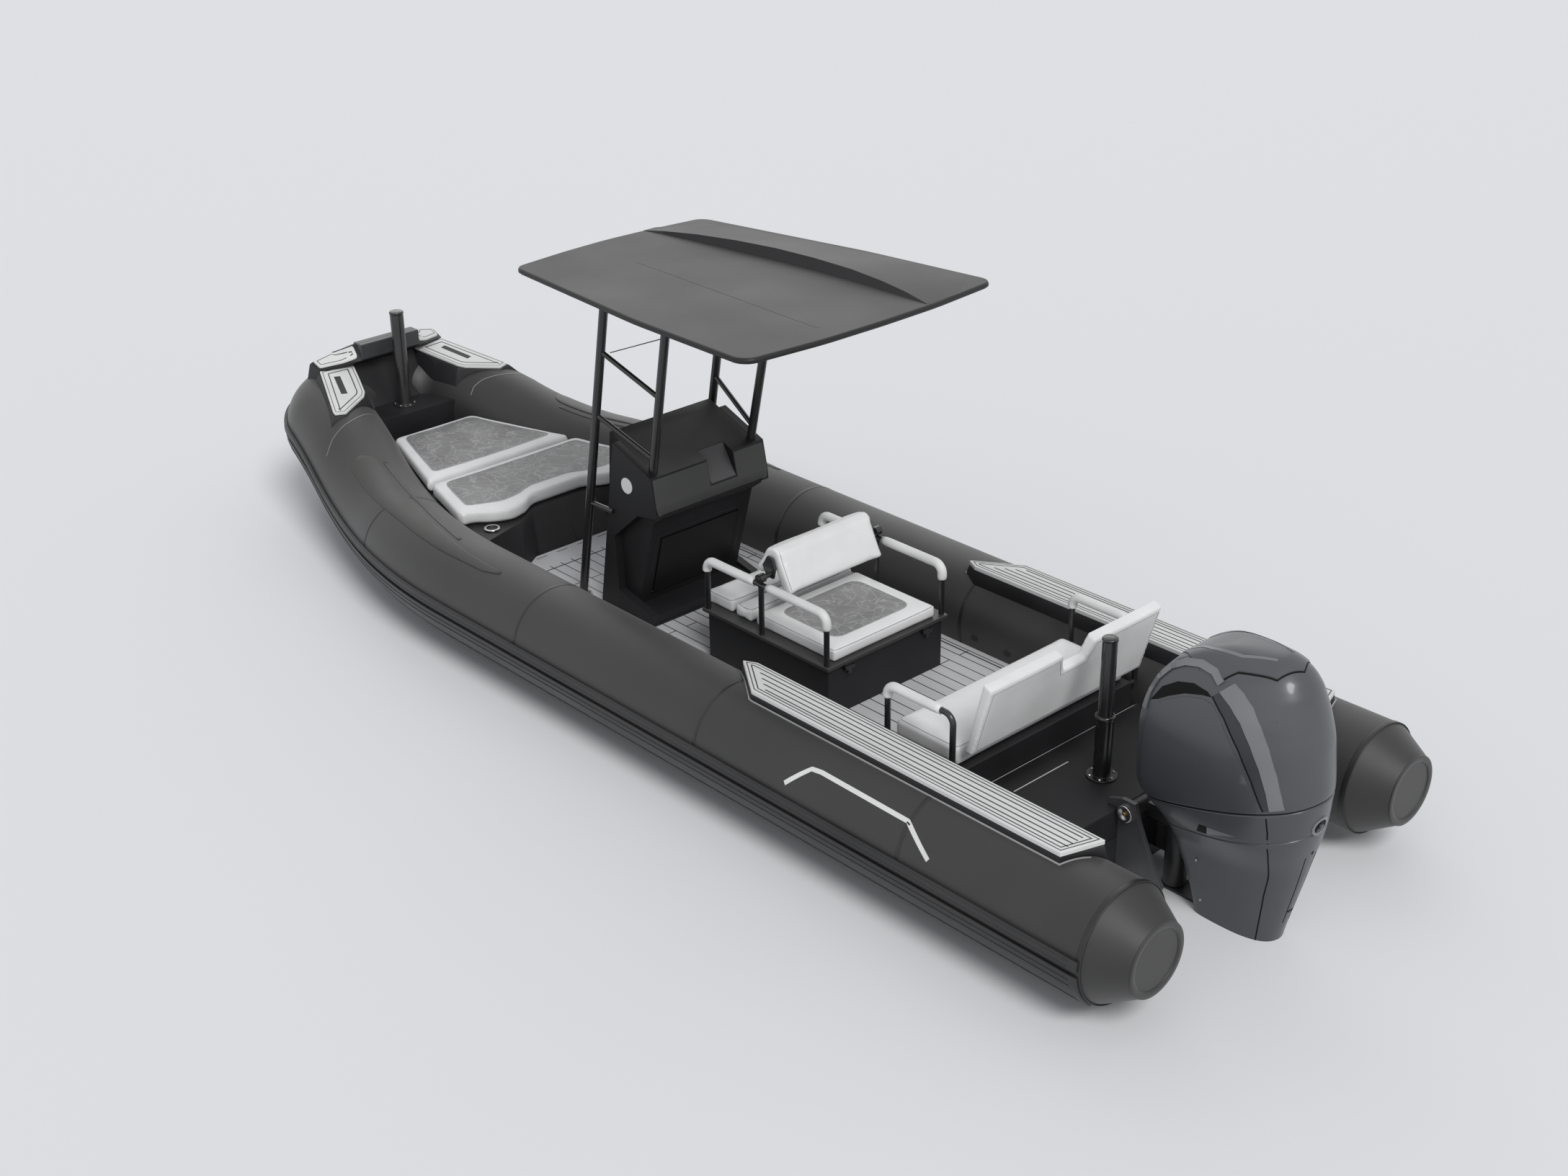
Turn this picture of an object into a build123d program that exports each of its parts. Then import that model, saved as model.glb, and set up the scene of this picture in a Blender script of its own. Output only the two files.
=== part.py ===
from build123d import *
import os
from math import atan2, cos, degrees, radians, sin

# Rigid inflatable boat, afloat.  Millimetres.
# X runs forward to the bow, Y to port, Z up.
# The origin is on the centreline at the waterline, about amidships.

os.makedirs("parts", exist_ok=True)

# ---------------------------------------------------------------- clearances
SOFT_GAP = 0.3          # between a soft piece and what carries it
SWING_GAP = 8.0         # beside a piece that turns
PIN_FIT = 0.05          # radial clearance of a pin in its bore
CUT_PAST = 1            # how far a cut runs past the face that it opens

# ---------------------------------------------------------------- buoyancy tubes
TUBE_R = 296
TUBE_Y = 1000           # centre of the straight run, off the centreline
TUBE_Z = 385            # centre of the straight run, above the water
STERN_X = -3750         # aft end of the straight run, where the cone starts
CONE_L = 190
CONE_TIP_R = 185
CONE_TIP_RISE = 9
BEND_X = 1100           # where the tubes start to turn inboard
BEND_R = 4000
BEND_DEG = 15
RISE_R = 2900           # the upward sweep of the sheer
RISE_DEG = 17
LEVEL_R = 2757          # the sheer levels out again towards the bow
LEVEL_DEG = 6
BOW_R = 398             # the bow's corner, which turns each tube square across

# rub strakes on the tubes' outer side: angles are above the tube's horizontal
STRAKE_ROWS = [         # (from degrees, to degrees, thickness)
    (-1, 9, 20),
    (-52, -7, 16),
]

# ---------------------------------------------------------------- rigid hull
TRANSOM_X = -3065
HULL_TOP = 245
# stations of the half hull: x, keel z, chine y and z, flange y and z, top y and z
HULL_ROWS = [
    (TRANSOM_X, -450, 800, -110, 960, 80, 745, HULL_TOP),
    (1100, -450, 800, -100, 960, 80, 745, HULL_TOP),
    (2135, -400, 660, -20, 800, 100, 620, HULL_TOP),
    (3000, -150, 400, 160, 540, 260, 380, 330),
    (3620, 230, 190, 400, 300, 470, 170, 480),
    (3860, 500, 50, 530, 90, 550, 60, 560),
]

# ---------------------------------------------------------------- cockpit
FLOOR_Z = 285
AFT_DECK_Z = 411
AFT_DECK_X = -2474      # forward edge of the aft deck, at the bench's back
COCKPIT_HALF = 770      # reaches into the tubes, which cut it
AFT_DECK_WIDER = 80     # the raised aft deck reaches further into the tubes
LOCKER_Z = 530
PLATFORM_Z = 690
PLATFORM_X = 3180       # aft face of the raised platform in the bow
PLATFORM_HALF = 300
PLATFORM_FRONT = 3640
# half plans of the bow locker at the floor and at its top, from its raked aft face forward: x, y
LOCKER_FOOT = [(1430, 0), (1436, 316), (1331, 473), (1290, 800), (2135, 800), (PLATFORM_X, 500), (PLATFORM_X, 0)]
LOCKER_HEAD = [(1600, 0), (1590, 230), (1478, 408), (1362, 800), (2135, 800), (PLATFORM_X, 500), (PLATFORM_X, 0)]

# ---------------------------------------------------------------- side decks
DECK_TOP = 730
DECK_PAD_T = 25
DECK_FOOT_Z = 480
# half plan of a side deck at its foot: x, y
DECK_FOOT = [(-1040, 850), (-1330, 1090), (-3440, 1092), (-3530, 800), (-1200, 800)]
DECK_HEAD = [(-1115, 868), (-1385, 1052), (-3428, 1060), (-3500, 836), (-1190, 830)]

# ---------------------------------------------------------------- bow moulding
MOULD_POINT = (3597, 483, 976)      # a point of the moulding's sloping top
MOULD_SLOPE_X = 0.224
MOULD_SLOPE_Y = -0.018
# half plans of the moulding, on its top and at its foot inside the tube: x, y
MOULD_HEAD = [(3095, 708), (3070, 625), (3225, 368), (3395, 300), (3590, 234), (3604, 492)]
MOULD_FOOT = [(2934, 903), (2940, 600), (3185, 292), (3330, 262), (3440, 234), (3700, 640)]
MOULD_FOOT_Z = 640
PLATE_T = 14
# half plan of a foam plate on the moulding's top: x, y
PLATE_PLAN = [(3594, 491), (3572, 247), (3399, 310), (3236, 374), (3194, 408), (3080, 621), (3103, 691), (3128, 689)]
# the raised lip across the bow, as side sections from the middle outboard: y, then x, z points
LIP_MIDDLE = [(3440, PLATFORM_Z), (3569, 975), (3470, 1030), (3469, 1036), (3525, 1138), (3560, 1130),
              (3760, 930), (3760, PLATFORM_Z)]
LIP_SHOULDER = [(3500, PLATFORM_Z), (3580, 968), (3524, 1011), (3523, 1017), (3675, 1068), (3700, 1052),
                (3790, 900), (3760, PLATFORM_Z)]
LIP_END = [(3560, PLATFORM_Z), (3597, 970), (3597, 984), (3597, 990), (3690, 1026), (3712, 1010),
           (3780, 850), (3720, PLATFORM_Z)]
LIP_ROWS = [(0, LIP_MIDDLE), (234, LIP_MIDDLE), (340, LIP_SHOULDER), (496, LIP_END)]
NOSE_X0 = 3465          # the dark box in the middle of the lip
NOSE_X1 = 3560
NOSE_HALF = 232
NOSE_Z0 = 1036
NOSE_Z1 = 1143

BOW_POST_X = 3352
BOW_POST_R = 46
BOW_POST_TOP = 1356
TOW_POST_X = -2815
TOW_POST_TOP = 1184
TOW_POST_R = 38
TOW_POST_LOW_R = 45
TOW_POST_LOW_H = 330
POST_FLANGE_R = 80
POST_FLANGE_T = 8

# ---------------------------------------------------------------- bow cushions
CUSHION_TOP = 626
CUSHION_GAP = 6
FORE_CUSHION = [(3045, 0), (3045, 330), (2223, 590), (2223, 0)]
AFT_CUSHION = [(2217, 0), (2217, 592), (1700, 738), (1650, 720), (1645, 660), (1556, 560),
               (1504, 440), (1528, 312), (1605, 200), (1625, 0)]
CUP_X = 1515
CUP_Y = 597
CUP_R = 45
CUP_BORE_R = 36
CUP_H = 12

# ---------------------------------------------------------------- console
CONSOLE_HALF = 380
WING_T = 50
# side profile of the console block: x, z
CONSOLE_PROFILE = [(650, FLOOR_Z), (180, FLOOR_Z), (180, 345), (353, 358), (195, 923),
                   (110, 985), (107, 1052), (145, 1232), (560, 1390)]
# side wing: the outer contour, then the hollow that shows the block behind: x, z
WING_OUTER = [(653, FLOOR_Z), (180, FLOOR_Z), (170, 350), (480, 420), (498, 768), (275, 965),
              (102, 998), (107, 1060), (145, 1234), (474, 1358)]
CAVITY_X0 = 362         # storage space behind the door
CAVITY_X1 = 540
CAVITY_HALF = 330
DOOR_HALF = 300
DOOR_Z0 = 400
DOOR_Z1 = 800
DOOR_T = 22
DOOR_PROUD = 6
DOOR_PLAY = 8
HINGE_R = 4             # the door's hinge pin, along its lower edge
HINGE_IN = 7            # the pin's distance from the door's outer face and lower edge
# the helm recess, cut through the dash's aft edge to starboard of the middle
RECESS_Y0 = -188
RECESS_Y1 = 8
RECESS_FORE = 83        # its reach forward of the dash's edge
RECESS_DOWN = 149       # its reach below that edge
RECESS_PANEL_T = 6
RECESS_PANEL_IN = 4     # the panel's edge stands in from the recess's edges
DISC_R = 48
DISC_T = 6
DISC_X = 356
DISC_Z = 1130

# ---------------------------------------------------------------- hardtop
ROOF_T = 40
ROOF_Z_FRONT = 2353
ROOF_Z_AFT = 2406
# half plan of the roof: x, y
ROOF_PLAN = [(1015, 0), (1000, 300), (953, 655), (900, 700), (-300, 850), (-1150, 900),
             (-1215, 850), (-1260, 400), (-1270, 0)]
ROOF_X_FRONT = 953
ROOF_X_AFT = -1199
LEG_R = 26
BRACE_R = 15
STRUT_L = 200
STRUT_IN = 15
LEG_FOOT_R = 55
LEG_FOOT_T = 8
FORE_LEG = ((810, 450, FLOOR_Z), (430, 450, 2345))
AFT_LEG = ((186, 372, 1245), (-45, 395, 2370))
LEG_SUNK = 30           # the legs run on past their seats, which trim them
# braces between the fore and the aft leg: height on the fore leg, height on the aft leg
BRACE_ROWS = [(1907, 1722), (1509, 1327)]
STRUT_Z = 928

# ---------------------------------------------------------------- helm seat
HELM_X0 = -1333
HELM_X1 = -315
HELM_HALF = 464
HELM_INSET = 25         # the box inside its flanged lid
HELM_LID_T = 22
HELM_LID_TOP = 606
HELM_CUSHION_H = 72
HELM_CUSHION_HALF = 400
HELM_CUSHIONS = [(-1315, -672), (-655, -512), (-495, -262)]   # x from, x to
POST_R = 16
ARM_TUBE_Z = 905
ARM_Y = 441
HELM_POSTS = [-1300, -790, -345]
PAD_R = 26
PAD_CLEAR = 30
ARM_BEND = 55
PIVOT_X = -790
PIVOT_Z = 945
PIVOT_R = 14
PIVOT_HOUSING = 40
PIVOT_HOUSING_R = 26
PIN_PROUD = 6
LUG_T = 14
# section of the lug that ties a pivot pin to the backrest's end: x, z
LUG_SECTION = [(-760, 925), (-730, 985), (-770, 1050), (-810, 1040), (-830, 985), (-815, 925)]
BACK_HALF = 362
# section of the helm backrest: x, z, an inverted V
BACK_SECTION = [(-700, 905), (-650, 935), (-735, 1085), (-790, 1105), (-830, 1085), (-935, 860),
                (-865, 830), (-778, 1020)]

# ---------------------------------------------------------------- aft bench
BENCH_X0 = -2470
BENCH_X1 = -1985
BENCH_HALF = 656
BENCH_Z = 555
BENCH_SEAT_TOP = 661
BENCH_SEAT_SHORT = 30   # the seat stops short of the base, at the backrest
# section of the bench backrest: x, z
BENCH_BACK = [(-2440, 662), (-2472, 655), (-2520, 655), (-2640, 1066), (-2580, 1088)]
BENCH_BACK_X0 = -2700   # the notch is cut across from here
BENCH_BACK_REACH = 300
BENCH_ARM_FOOT = 520
BENCH_PEG_R = 14
BENCH_PEG_Z = 535       # the pegs that tie the arm posts to the base
NOTCH_TOP_HALF = 118
NOTCH_LOW_HALF = 78
NOTCH_Z = 962
BENCH_ARM_Y = 704
BENCH_ARM_Z = 880
BENCH_POSTS = [-2450, -2010]

# ---------------------------------------------------------------- outboard engine
TILT_X = -3120
TILT_Z = 410
TILT_R = 22
TILT_BOSS_R = 48
TILT_BOSS_T = 20
KNUCKLE_R = 38
CLAMP_Y = 150
CLAMP_T = 26
# side plate of the clamp bracket, hooked over the transom: x, z
CLAMP_SIDE = [(TRANSOM_X, 40), (TRANSOM_X, AFT_DECK_Z), (-3000, AFT_DECK_Z), (-3000, 440),
              (-3080, 470), (-3160, 470), (-3190, 380), (-3250, 250), (-3350, 75), (-3335, 40)]
STEER_X = -3300
STEER_R = 30
SWIVEL_R = 58
SWIVEL_Z0 = 20
SWIVEL_Z1 = 432
SWIVEL_WEB = 60         # half width of the web between the two axes
YOKE_T = 45
YOKE_HALF = 60
YOKE_GAP = 6            # thrust washers' room between yoke and swivel
YOKE_X = -3480          # aft end of the yokes, inside the leg
COWL_SEAM_Z = 700
# half widths of the engine cover, seen from astern: y, z
COVER_FRONT = [(0, -80), (118, -80), (124, 60), (150, 400), (262, 560), (287, 700), (293, 900),
               (284, 1120), (236, 1300), (150, 1405), (60, 1452), (0, 1462)]
# half plan of the engine cover: x, y
COVER_PLAN = [(-3185, 0), (-3185, 180), (-3240, 268), (-3600, 300), (-3850, 262), (-4010, 160),
              (-4080, 60), (-4080, 0)]
# side outline of the engine cover: x, z
COVER_SIDE = [(-3500, -80), (-3480, 60), (-3415, 240), (-3340, 420), (-3320, 560), (-3200, 625),
              (-3190, 690), (-3185, 1010), (-3230, 1150), (-3367, 1340), (-3562, 1440), (-3769, 1462),
              (-3876, 1430), (-3966, 1329), (-4047, 1086), (-4077, 841), (-4061, 638), (-4011, 379),
              (-3930, 48), (-3905, -80)]
COVER_HALF = 320        # wider than the cover anywhere
BLOCK_X0 = -3900        # the powerhead inside the cowl, as one block
BLOCK_X1 = -3330
BLOCK_HALF = 190
BLOCK_Z0 = 760
BLOCK_Z1 = 1240
LEG_HALF = 62
# side outline of the leg inside its cover: x, z
LEG_SIDE = [(-3440, 620), (-3840, 620), (-3840, 60), (-3860, -430), (-3530, -430), (-3500, 60)]
AV_PLATE_T = 12         # anti-ventilation plate
AV_PLATE = [(-3500, 0), (-3520, 60), (-3700, 95), (-3960, 100), (-4030, 70), (-4030, 0)]
AV_PLATE_Z = -430
NECK_HALF = 28
NECK = [(-3530, -442), (-3860, -442), (-3900, -655), (-3520, -655)]
PROP_Z = -655
GEARCASE_R = 62
GEARCASE_X0 = -3950
GEARCASE_X1 = -3430
NOSE_CONE_L = 110
SKEG = [(-3600, -690), (-3860, -690), (-3880, -890), (-3800, -905)]
SKEG_HALF = 9
SHAFT_R = 18
SHAFT_PROUD = 14
PROP_X0 = -4110
PROP_X1 = -3956
HUB_R = 56
BLADE_COUNT = 3
BLADE_TIP_R = 197
BLADE_CHORD = 150
BLADE_T = 10
BLADE_PITCH = 26


# ================================================================ helpers
def box(x0, x1, y0, y1, z0, z1):
    """A box between two corners."""
    return Pos((x0 + x1) / 2, (y0 + y1) / 2, (z0 + z1) / 2) * Box(abs(x1 - x0), abs(y1 - y0), abs(z1 - z0))


def mirrored(shape):
    """The same shape on the other side of the centreline."""
    return mirror(shape, about=Plane.XZ)


def outline(points):
    """A closed straight-edged face in the local XY plane."""
    return make_face(Polyline(*points, close=True))


def prism_z(points, z0, z1):
    """A plan polygon of x, y points raised from z0 to z1."""
    return extrude(Plane.XY.offset(z0) * outline(points), z1 - z0)


def prism_y(points, y0, y1):
    """A side polygon of x, z points run from y0 to y1."""
    plane = Plane(origin=(0, y0, 0), x_dir=(1, 0, 0), z_dir=(0, -1, 0))
    return extrude(plane * outline(points), -(y1 - y0))


def full_plan(half):
    """A half plan that starts and ends on the centreline, completed to starboard."""
    return half + [(x, -y) for x, y in reversed(half) if y > 0]


def rod(start, end, radius):
    """A round bar from one point to another."""
    return sweep(Plane(origin=start, z_dir=Vector(*end) - Vector(*start)) * Circle(radius), Line(start, end))


def bent_rod(points, radius, bend):
    """A round bar through the points, with rounded corners."""
    path = FilletPolyline(*points, radius=bend)
    return sweep(Plane(origin=path @ 0, z_dir=path % 0) * Circle(radius), path)


def cylinder_y(x, y0, y1, z, radius):
    """A round bar across the boat."""
    return rod((x, y0, z), (x, y1, z), radius)


FOOT = (Align.CENTER, Align.CENTER, Align.MIN)


# ================================================================ tubes
def tube_path():
    """Centreline of the port tube: straight, turning inboard, sweeping up, levelling, then round the bow's corner."""
    heading = Vector(cos(radians(BEND_DEG)), -sin(radians(BEND_DEG)), 0)
    upward = Vector(0, 0, 1)
    rise, level = radians(RISE_DEG), radians(LEVEL_DEG)
    p0 = Vector(STERN_X, TUBE_Y, TUBE_Z)
    p1 = Vector(BEND_X, TUBE_Y, TUBE_Z)
    p2 = p1 + Vector(BEND_R * sin(radians(BEND_DEG)), -BEND_R * (1 - cos(radians(BEND_DEG))), 0)
    p3 = p2 + heading * (RISE_R * sin(rise)) + upward * (RISE_R * (1 - cos(rise)))
    p4 = p3 + heading * (LEVEL_R * (sin(rise) - sin(level))) + upward * (LEVEL_R * (cos(level) - cos(rise)))
    steep = heading * cos(rise) + upward * sin(rise)
    along = heading * cos(level) + upward * sin(level)
    # the corner turns the tube square to the centreline
    across = Vector(0, -1, 0)
    turn = radians(along.get_angle(across))
    side = (across - along * along.dot(across)).normalized()
    p5 = p4 + along * (BOW_R * sin(turn)) + side * (BOW_R * (1 - cos(turn)))
    runs = [
        Line(p0, p1),
        TangentArc(p1, p2, tangent=(1, 0, 0)),
        TangentArc(p2, p3, tangent=heading),
        TangentArc(p3, p4, tangent=steep),
        TangentArc(p4, p5, tangent=along),
        Line(p5, (p5.X, 0, p5.Z)),
    ]
    return Wire(runs)


TUBE_PATH = tube_path()


def section_plane():
    """The plane square to the tube's stern end: its X points outboard and its Y up."""
    return Plane(origin=TUBE_PATH @ 0, x_dir=(0, 1, 0), z_dir=(1, 0, 0))


def tube_pair(radius):
    """Both tubes, which meet at the bow."""
    half = sweep(section_plane() * Circle(radius), TUBE_PATH)
    return half + mirrored(half)


def strake_half(start_deg, end_deg, thickness):
    """One rubber strip that wraps part of the tube's outer side."""
    def at(radius, angle):
        return (radius * cos(radians(angle)), radius * sin(radians(angle)))
    middle = (start_deg + end_deg) / 2
    outer_r = TUBE_R + thickness
    edges = [
        ThreePointArc(at(TUBE_R, start_deg), at(TUBE_R, middle), at(TUBE_R, end_deg)),
        Line(at(TUBE_R, end_deg), at(outer_r, end_deg)),
        ThreePointArc(at(outer_r, end_deg), at(outer_r, middle), at(outer_r, start_deg)),
        Line(at(outer_r, start_deg), at(TUBE_R, start_deg)),
    ]
    return sweep(section_plane() * make_face(edges), TUBE_PATH)


def tube_end_cones():
    wide = Plane(origin=(STERN_X, TUBE_Y, TUBE_Z), z_dir=(-1, 0, 0)) * Circle(TUBE_R)
    tip = Plane(origin=(STERN_X - CONE_L, TUBE_Y, TUBE_Z + CONE_TIP_RISE), z_dir=(-1, 0, 0)) * Circle(CONE_TIP_R)
    cone = loft([wide, tip])
    return Compound(children=[cone, mirrored(cone)])


# ================================================================ hull
def hull_section(row):
    """One station of the V hull, closed across its top."""
    x, keel_z, chine_y, chine_z, flange_y, flange_z, top_y, top_z = row
    half = [(0, keel_z), (chine_y, chine_z), (flange_y, flange_z), (top_y, top_z)]
    plane = Plane(origin=(x, 0, 0), x_dir=(0, 1, 0), z_dir=(1, 0, 0))
    return plane * outline(half + [(-y, z) for y, z in reversed(half) if y > 0])


def rigid_hull(tubes):
    return loft([hull_section(row) for row in HULL_ROWS], ruled=True) - tubes


def hull_top_at(x):
    """Height of the hull's flat top at a station, between the rows."""
    for (x0, *_, z0), (x1, *_, z1) in zip(HULL_ROWS, HULL_ROWS[1:]):
        if x0 <= x <= x1:
            return z0 + (z1 - z0) * (x - x0) / (x1 - x0)


def above_hull(x0, x1, top_z, half):
    """A block that stands on the hull's top line, from x0 to x1."""
    foot = [x0] + [row[0] for row in HULL_ROWS if x0 < row[0] < x1] + [x1]
    side = [(x, hull_top_at(x)) for x in foot] + [(x1, top_z), (x0, top_z)]
    return prism_y(side, -half, half)


def bow_locker(tubes, hull, moulding):
    foot = Plane.XY.offset(HULL_TOP) * outline(full_plan(LOCKER_FOOT))
    head = Plane.XY.offset(LOCKER_Z) * outline(full_plan(LOCKER_HEAD))
    block = above_hull(LOCKER_FOOT[3][0], PLATFORM_X, LOCKER_Z, COCKPIT_HALF + AFT_DECK_WIDER)
    return (loft([foot, head], ruled=True) & block) - tubes - hull - moulding


def cockpit_floor(tubes, locker):
    front = LOCKER_FOOT[1][0]
    return box(AFT_DECK_X, front, -COCKPIT_HALF, COCKPIT_HALF, HULL_TOP, FLOOR_Z) - tubes - locker


def aft_deck(tubes):
    half = COCKPIT_HALF + AFT_DECK_WIDER
    return box(TRANSOM_X, AFT_DECK_X, -half, half, HULL_TOP, AFT_DECK_Z) - tubes


# ================================================================ bow
def on_moulding(plan, lift):
    """A plan polygon laid on the moulding's sloping top, raised by lift."""
    x0, y0, z0 = MOULD_POINT
    points = [(x, y, z0 + lift + MOULD_SLOPE_X * (x - x0) + MOULD_SLOPE_Y * (y - y0)) for x, y in plan]
    return make_face(Polyline(*points, close=True))


def bow_moulding(tubes):
    """The moulded cap over the tubes' bow corners, with a raised lip across it."""
    cap = loft([Plane.XY.offset(MOULD_FOOT_Z) * outline(MOULD_FOOT), on_moulding(MOULD_HEAD, 0)], ruled=True)
    sections = [Plane(origin=(0, y, 0), x_dir=(1, 0, 0), z_dir=(0, -1, 0)) * outline(row) for y, row in LIP_ROWS]
    half = cap + loft(sections, ruled=True)
    return half + mirrored(half) - nose_box() - tubes


def bow_platform(tubes, hull, moulding):
    block = above_hull(PLATFORM_X, PLATFORM_FRONT, PLATFORM_Z, PLATFORM_HALF)
    return block - tubes - hull - moulding


def nose_box():
    """The dark box let into the middle of the lip."""
    return box(NOSE_X0, NOSE_X1, -NOSE_HALF, NOSE_HALF, NOSE_Z0, NOSE_Z1)


def bow_plates(moulding):
    """A foam plate on each side of the moulding's sloping top."""
    plate = loft([on_moulding(PLATE_PLAN, SOFT_GAP), on_moulding(PLATE_PLAN, PLATE_T)], ruled=True) - moulding
    return Compound(children=[plate, mirrored(plate)])


def post(x, foot_z, top_z, low_r, top_r, step_h):
    """A mooring post on its round flange, thicker below its step."""
    flange = Pos(x, 0, foot_z) * Cylinder(POST_FLANGE_R, POST_FLANGE_T, align=FOOT)
    low = Pos(x, 0, foot_z) * Cylinder(low_r, step_h, align=FOOT)
    top = Pos(x, 0, foot_z) * Cylinder(top_r, top_z - foot_z, align=FOOT)
    return flange + low + top


def bow_cushion(half_plan, soft_tubes):
    """A flat cushion on the locker, held off the tubes beside it."""
    return prism_z(full_plan(half_plan), LOCKER_Z + SOFT_GAP, CUSHION_TOP) - soft_tubes


def cup_holders():
    ring = Pos(CUP_X, CUP_Y, LOCKER_Z) * (Cylinder(CUP_R, CUP_H, align=FOOT) - Cylinder(CUP_BORE_R, CUP_H, align=FOOT))
    return Compound(children=[ring, mirrored(ring)])


# ================================================================ side decks
def deck_plinth(tubes):
    """A black plinth on the port tube, tapered to a tip at its fore end."""
    foot = Plane.XY.offset(DECK_FOOT_Z) * outline(DECK_FOOT)
    head = Plane.XY.offset(DECK_TOP - DECK_PAD_T) * outline(DECK_HEAD)
    return loft([foot, head], ruled=True) - tubes


def deck_pad():
    return prism_z(DECK_HEAD, DECK_TOP - DECK_PAD_T, DECK_TOP)


# ================================================================ console and hardtop
def console_body():
    block = prism_y(CONSOLE_PROFILE, -CONSOLE_HALF, CONSOLE_HALF)
    wing = prism_y(WING_OUTER, CONSOLE_HALF, CONSOLE_HALF + WING_T)
    cavity = box(CAVITY_X0, CAVITY_X1, -CAVITY_HALF, CAVITY_HALF, DOOR_Z0, DOOR_Z1)
    x, z = door_hinge()
    pin = cylinder_y(x, -DOOR_HALF - HINGE_IN, DOOR_HALF + HINGE_IN, z, HINGE_R)
    return block + wing + mirrored(wing) - cavity - door_opening() - helm_recess() + pin


def rake_x(z):
    """X of the console's raked aft face at a height."""
    (x_low, z_low), (x_high, z_high) = CONSOLE_PROFILE[3], CONSOLE_PROFILE[4]
    return x_low + (x_high - x_low) * (z - z_low) / (z_high - z_low)


def door_slab(half, z0, z1, out, depth):
    """A slab on the raked aft face, from proud of it to inside it."""
    side = [(rake_x(z0) - out, z0), (rake_x(z0) + depth, z0), (rake_x(z1) + depth, z1), (rake_x(z1) - out, z1)]
    return prism_y(side, -half, half)


def door_opening():
    return door_slab(DOOR_HALF, DOOR_Z0, DOOR_Z1, CUT_PAST, CAVITY_X1 - rake_x(DOOR_Z0))


def door_hinge():
    """X and Z of the door's hinge pin, inside its lower outer edge."""
    z = DOOR_Z0 + DOOR_PLAY + HINGE_IN
    return rake_x(z) - DOOR_PROUD + HINGE_IN, z


def console_door():
    half = DOOR_HALF - DOOR_PLAY
    slab = door_slab(half, DOOR_Z0 + DOOR_PLAY, DOOR_Z1 - DOOR_PLAY, DOOR_PROUD, DOOR_T)
    x, z = door_hinge()
    return slab - cylinder_y(x, -half - CUT_PAST, half + CUT_PAST, z, HINGE_R + PIN_FIT)


def recess_floor():
    """The upper and lower ends of the recess's sloping floor, on the dash and on the fascia."""
    (x_low, z_low), (x_edge, z_edge), (x_top, z_top) = CONSOLE_PROFILE[-3:]
    upper = (x_edge + RECESS_FORE, z_edge + RECESS_FORE * (z_top - z_edge) / (x_top - x_edge))
    lower = (x_edge - RECESS_DOWN * (x_edge - x_low) / (z_edge - z_low), z_edge - RECESS_DOWN)
    return upper, lower


def helm_recess():
    upper, lower = recess_floor()
    x_out = lower[0] - RECESS_FORE
    z_out = upper[1] + RECESS_FORE
    side = [upper, lower, (x_out, lower[1]), (x_out, z_out), (upper[0], z_out)]
    return prism_y(side, RECESS_Y0, RECESS_Y1)


def dash_recess_panel():
    """The paler panel that lies on the recess's floor."""
    upper, lower = (Vector(*point) for point in recess_floor())
    run = (lower - upper).normalized()
    out = Vector(run.Y, -run.X) * RECESS_PANEL_T
    head = upper + run * RECESS_PANEL_IN
    foot = lower - run * RECESS_PANEL_IN
    side = [(point.X, point.Y) for point in (head, foot, foot + out, head + out)]
    return prism_y(side, RECESS_Y0 + RECESS_PANEL_IN, RECESS_Y1 - RECESS_PANEL_IN)


def console_discs():
    disc = cylinder_y(DISC_X, CONSOLE_HALF + WING_T, CONSOLE_HALF + WING_T + DISC_T, DISC_Z, DISC_R)
    return Compound(children=[disc, mirrored(disc)])


def along(leg, z):
    """The point of a leg at a height."""
    (x0, y0, z0), (x1, y1, z1) = leg
    t = (z - z0) / (z1 - z0)
    return (x0 + (x1 - x0) * t, y0 + (y1 - y0) * t, z)


def hardtop_roof():
    plan = full_plan(ROOF_PLAN)
    slab = prism_z(plan, -ROOF_T, 0)
    pitch = degrees(atan2(ROOF_Z_AFT - ROOF_Z_FRONT, ROOF_X_FRONT - ROOF_X_AFT))
    middle = ((ROOF_X_FRONT + ROOF_X_AFT) / 2, 0, (ROOF_Z_FRONT + ROOF_Z_AFT) / 2)
    return Pos(*middle) * Rot(0, pitch, 0) * Pos(-middle[0], 0, 0) * slab


def sunk(leg):
    """A leg that starts below its seat."""
    return along(leg, leg[0][2] - LEG_SUNK), leg[1]


def hardtop_frame(roof, console):
    side = rod(*sunk(FORE_LEG), LEG_R) + rod(*sunk(AFT_LEG), LEG_R)
    side += Pos(*FORE_LEG[0]) * Cylinder(LEG_FOOT_R, LEG_FOOT_T, align=FOOT)
    for fore_z, aft_z in BRACE_ROWS:
        side += rod(along(FORE_LEG, fore_z), along(AFT_LEG, aft_z), BRACE_R)
    fore = along(FORE_LEG, STRUT_Z)
    side += rod(fore, (fore[0] - STRUT_L, fore[1] - STRUT_IN, STRUT_Z), BRACE_R)
    frame = side - box(0, FORE_LEG[0][0] + LEG_FOOT_R, 0, COCKPIT_HALF, 0, FLOOR_Z) - roof - console
    return Compound(children=[frame, mirrored(frame)])


# ================================================================ helm seat
def helm_base():
    return box(HELM_X0 + HELM_INSET, HELM_X1 - HELM_INSET, -HELM_HALF + HELM_INSET, HELM_HALF - HELM_INSET,
               FLOOR_Z, HELM_LID_TOP - HELM_LID_T)


def helm_lid():
    return box(HELM_X0, HELM_X1, -HELM_HALF, HELM_HALF, HELM_LID_TOP - HELM_LID_T, HELM_LID_TOP)


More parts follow.
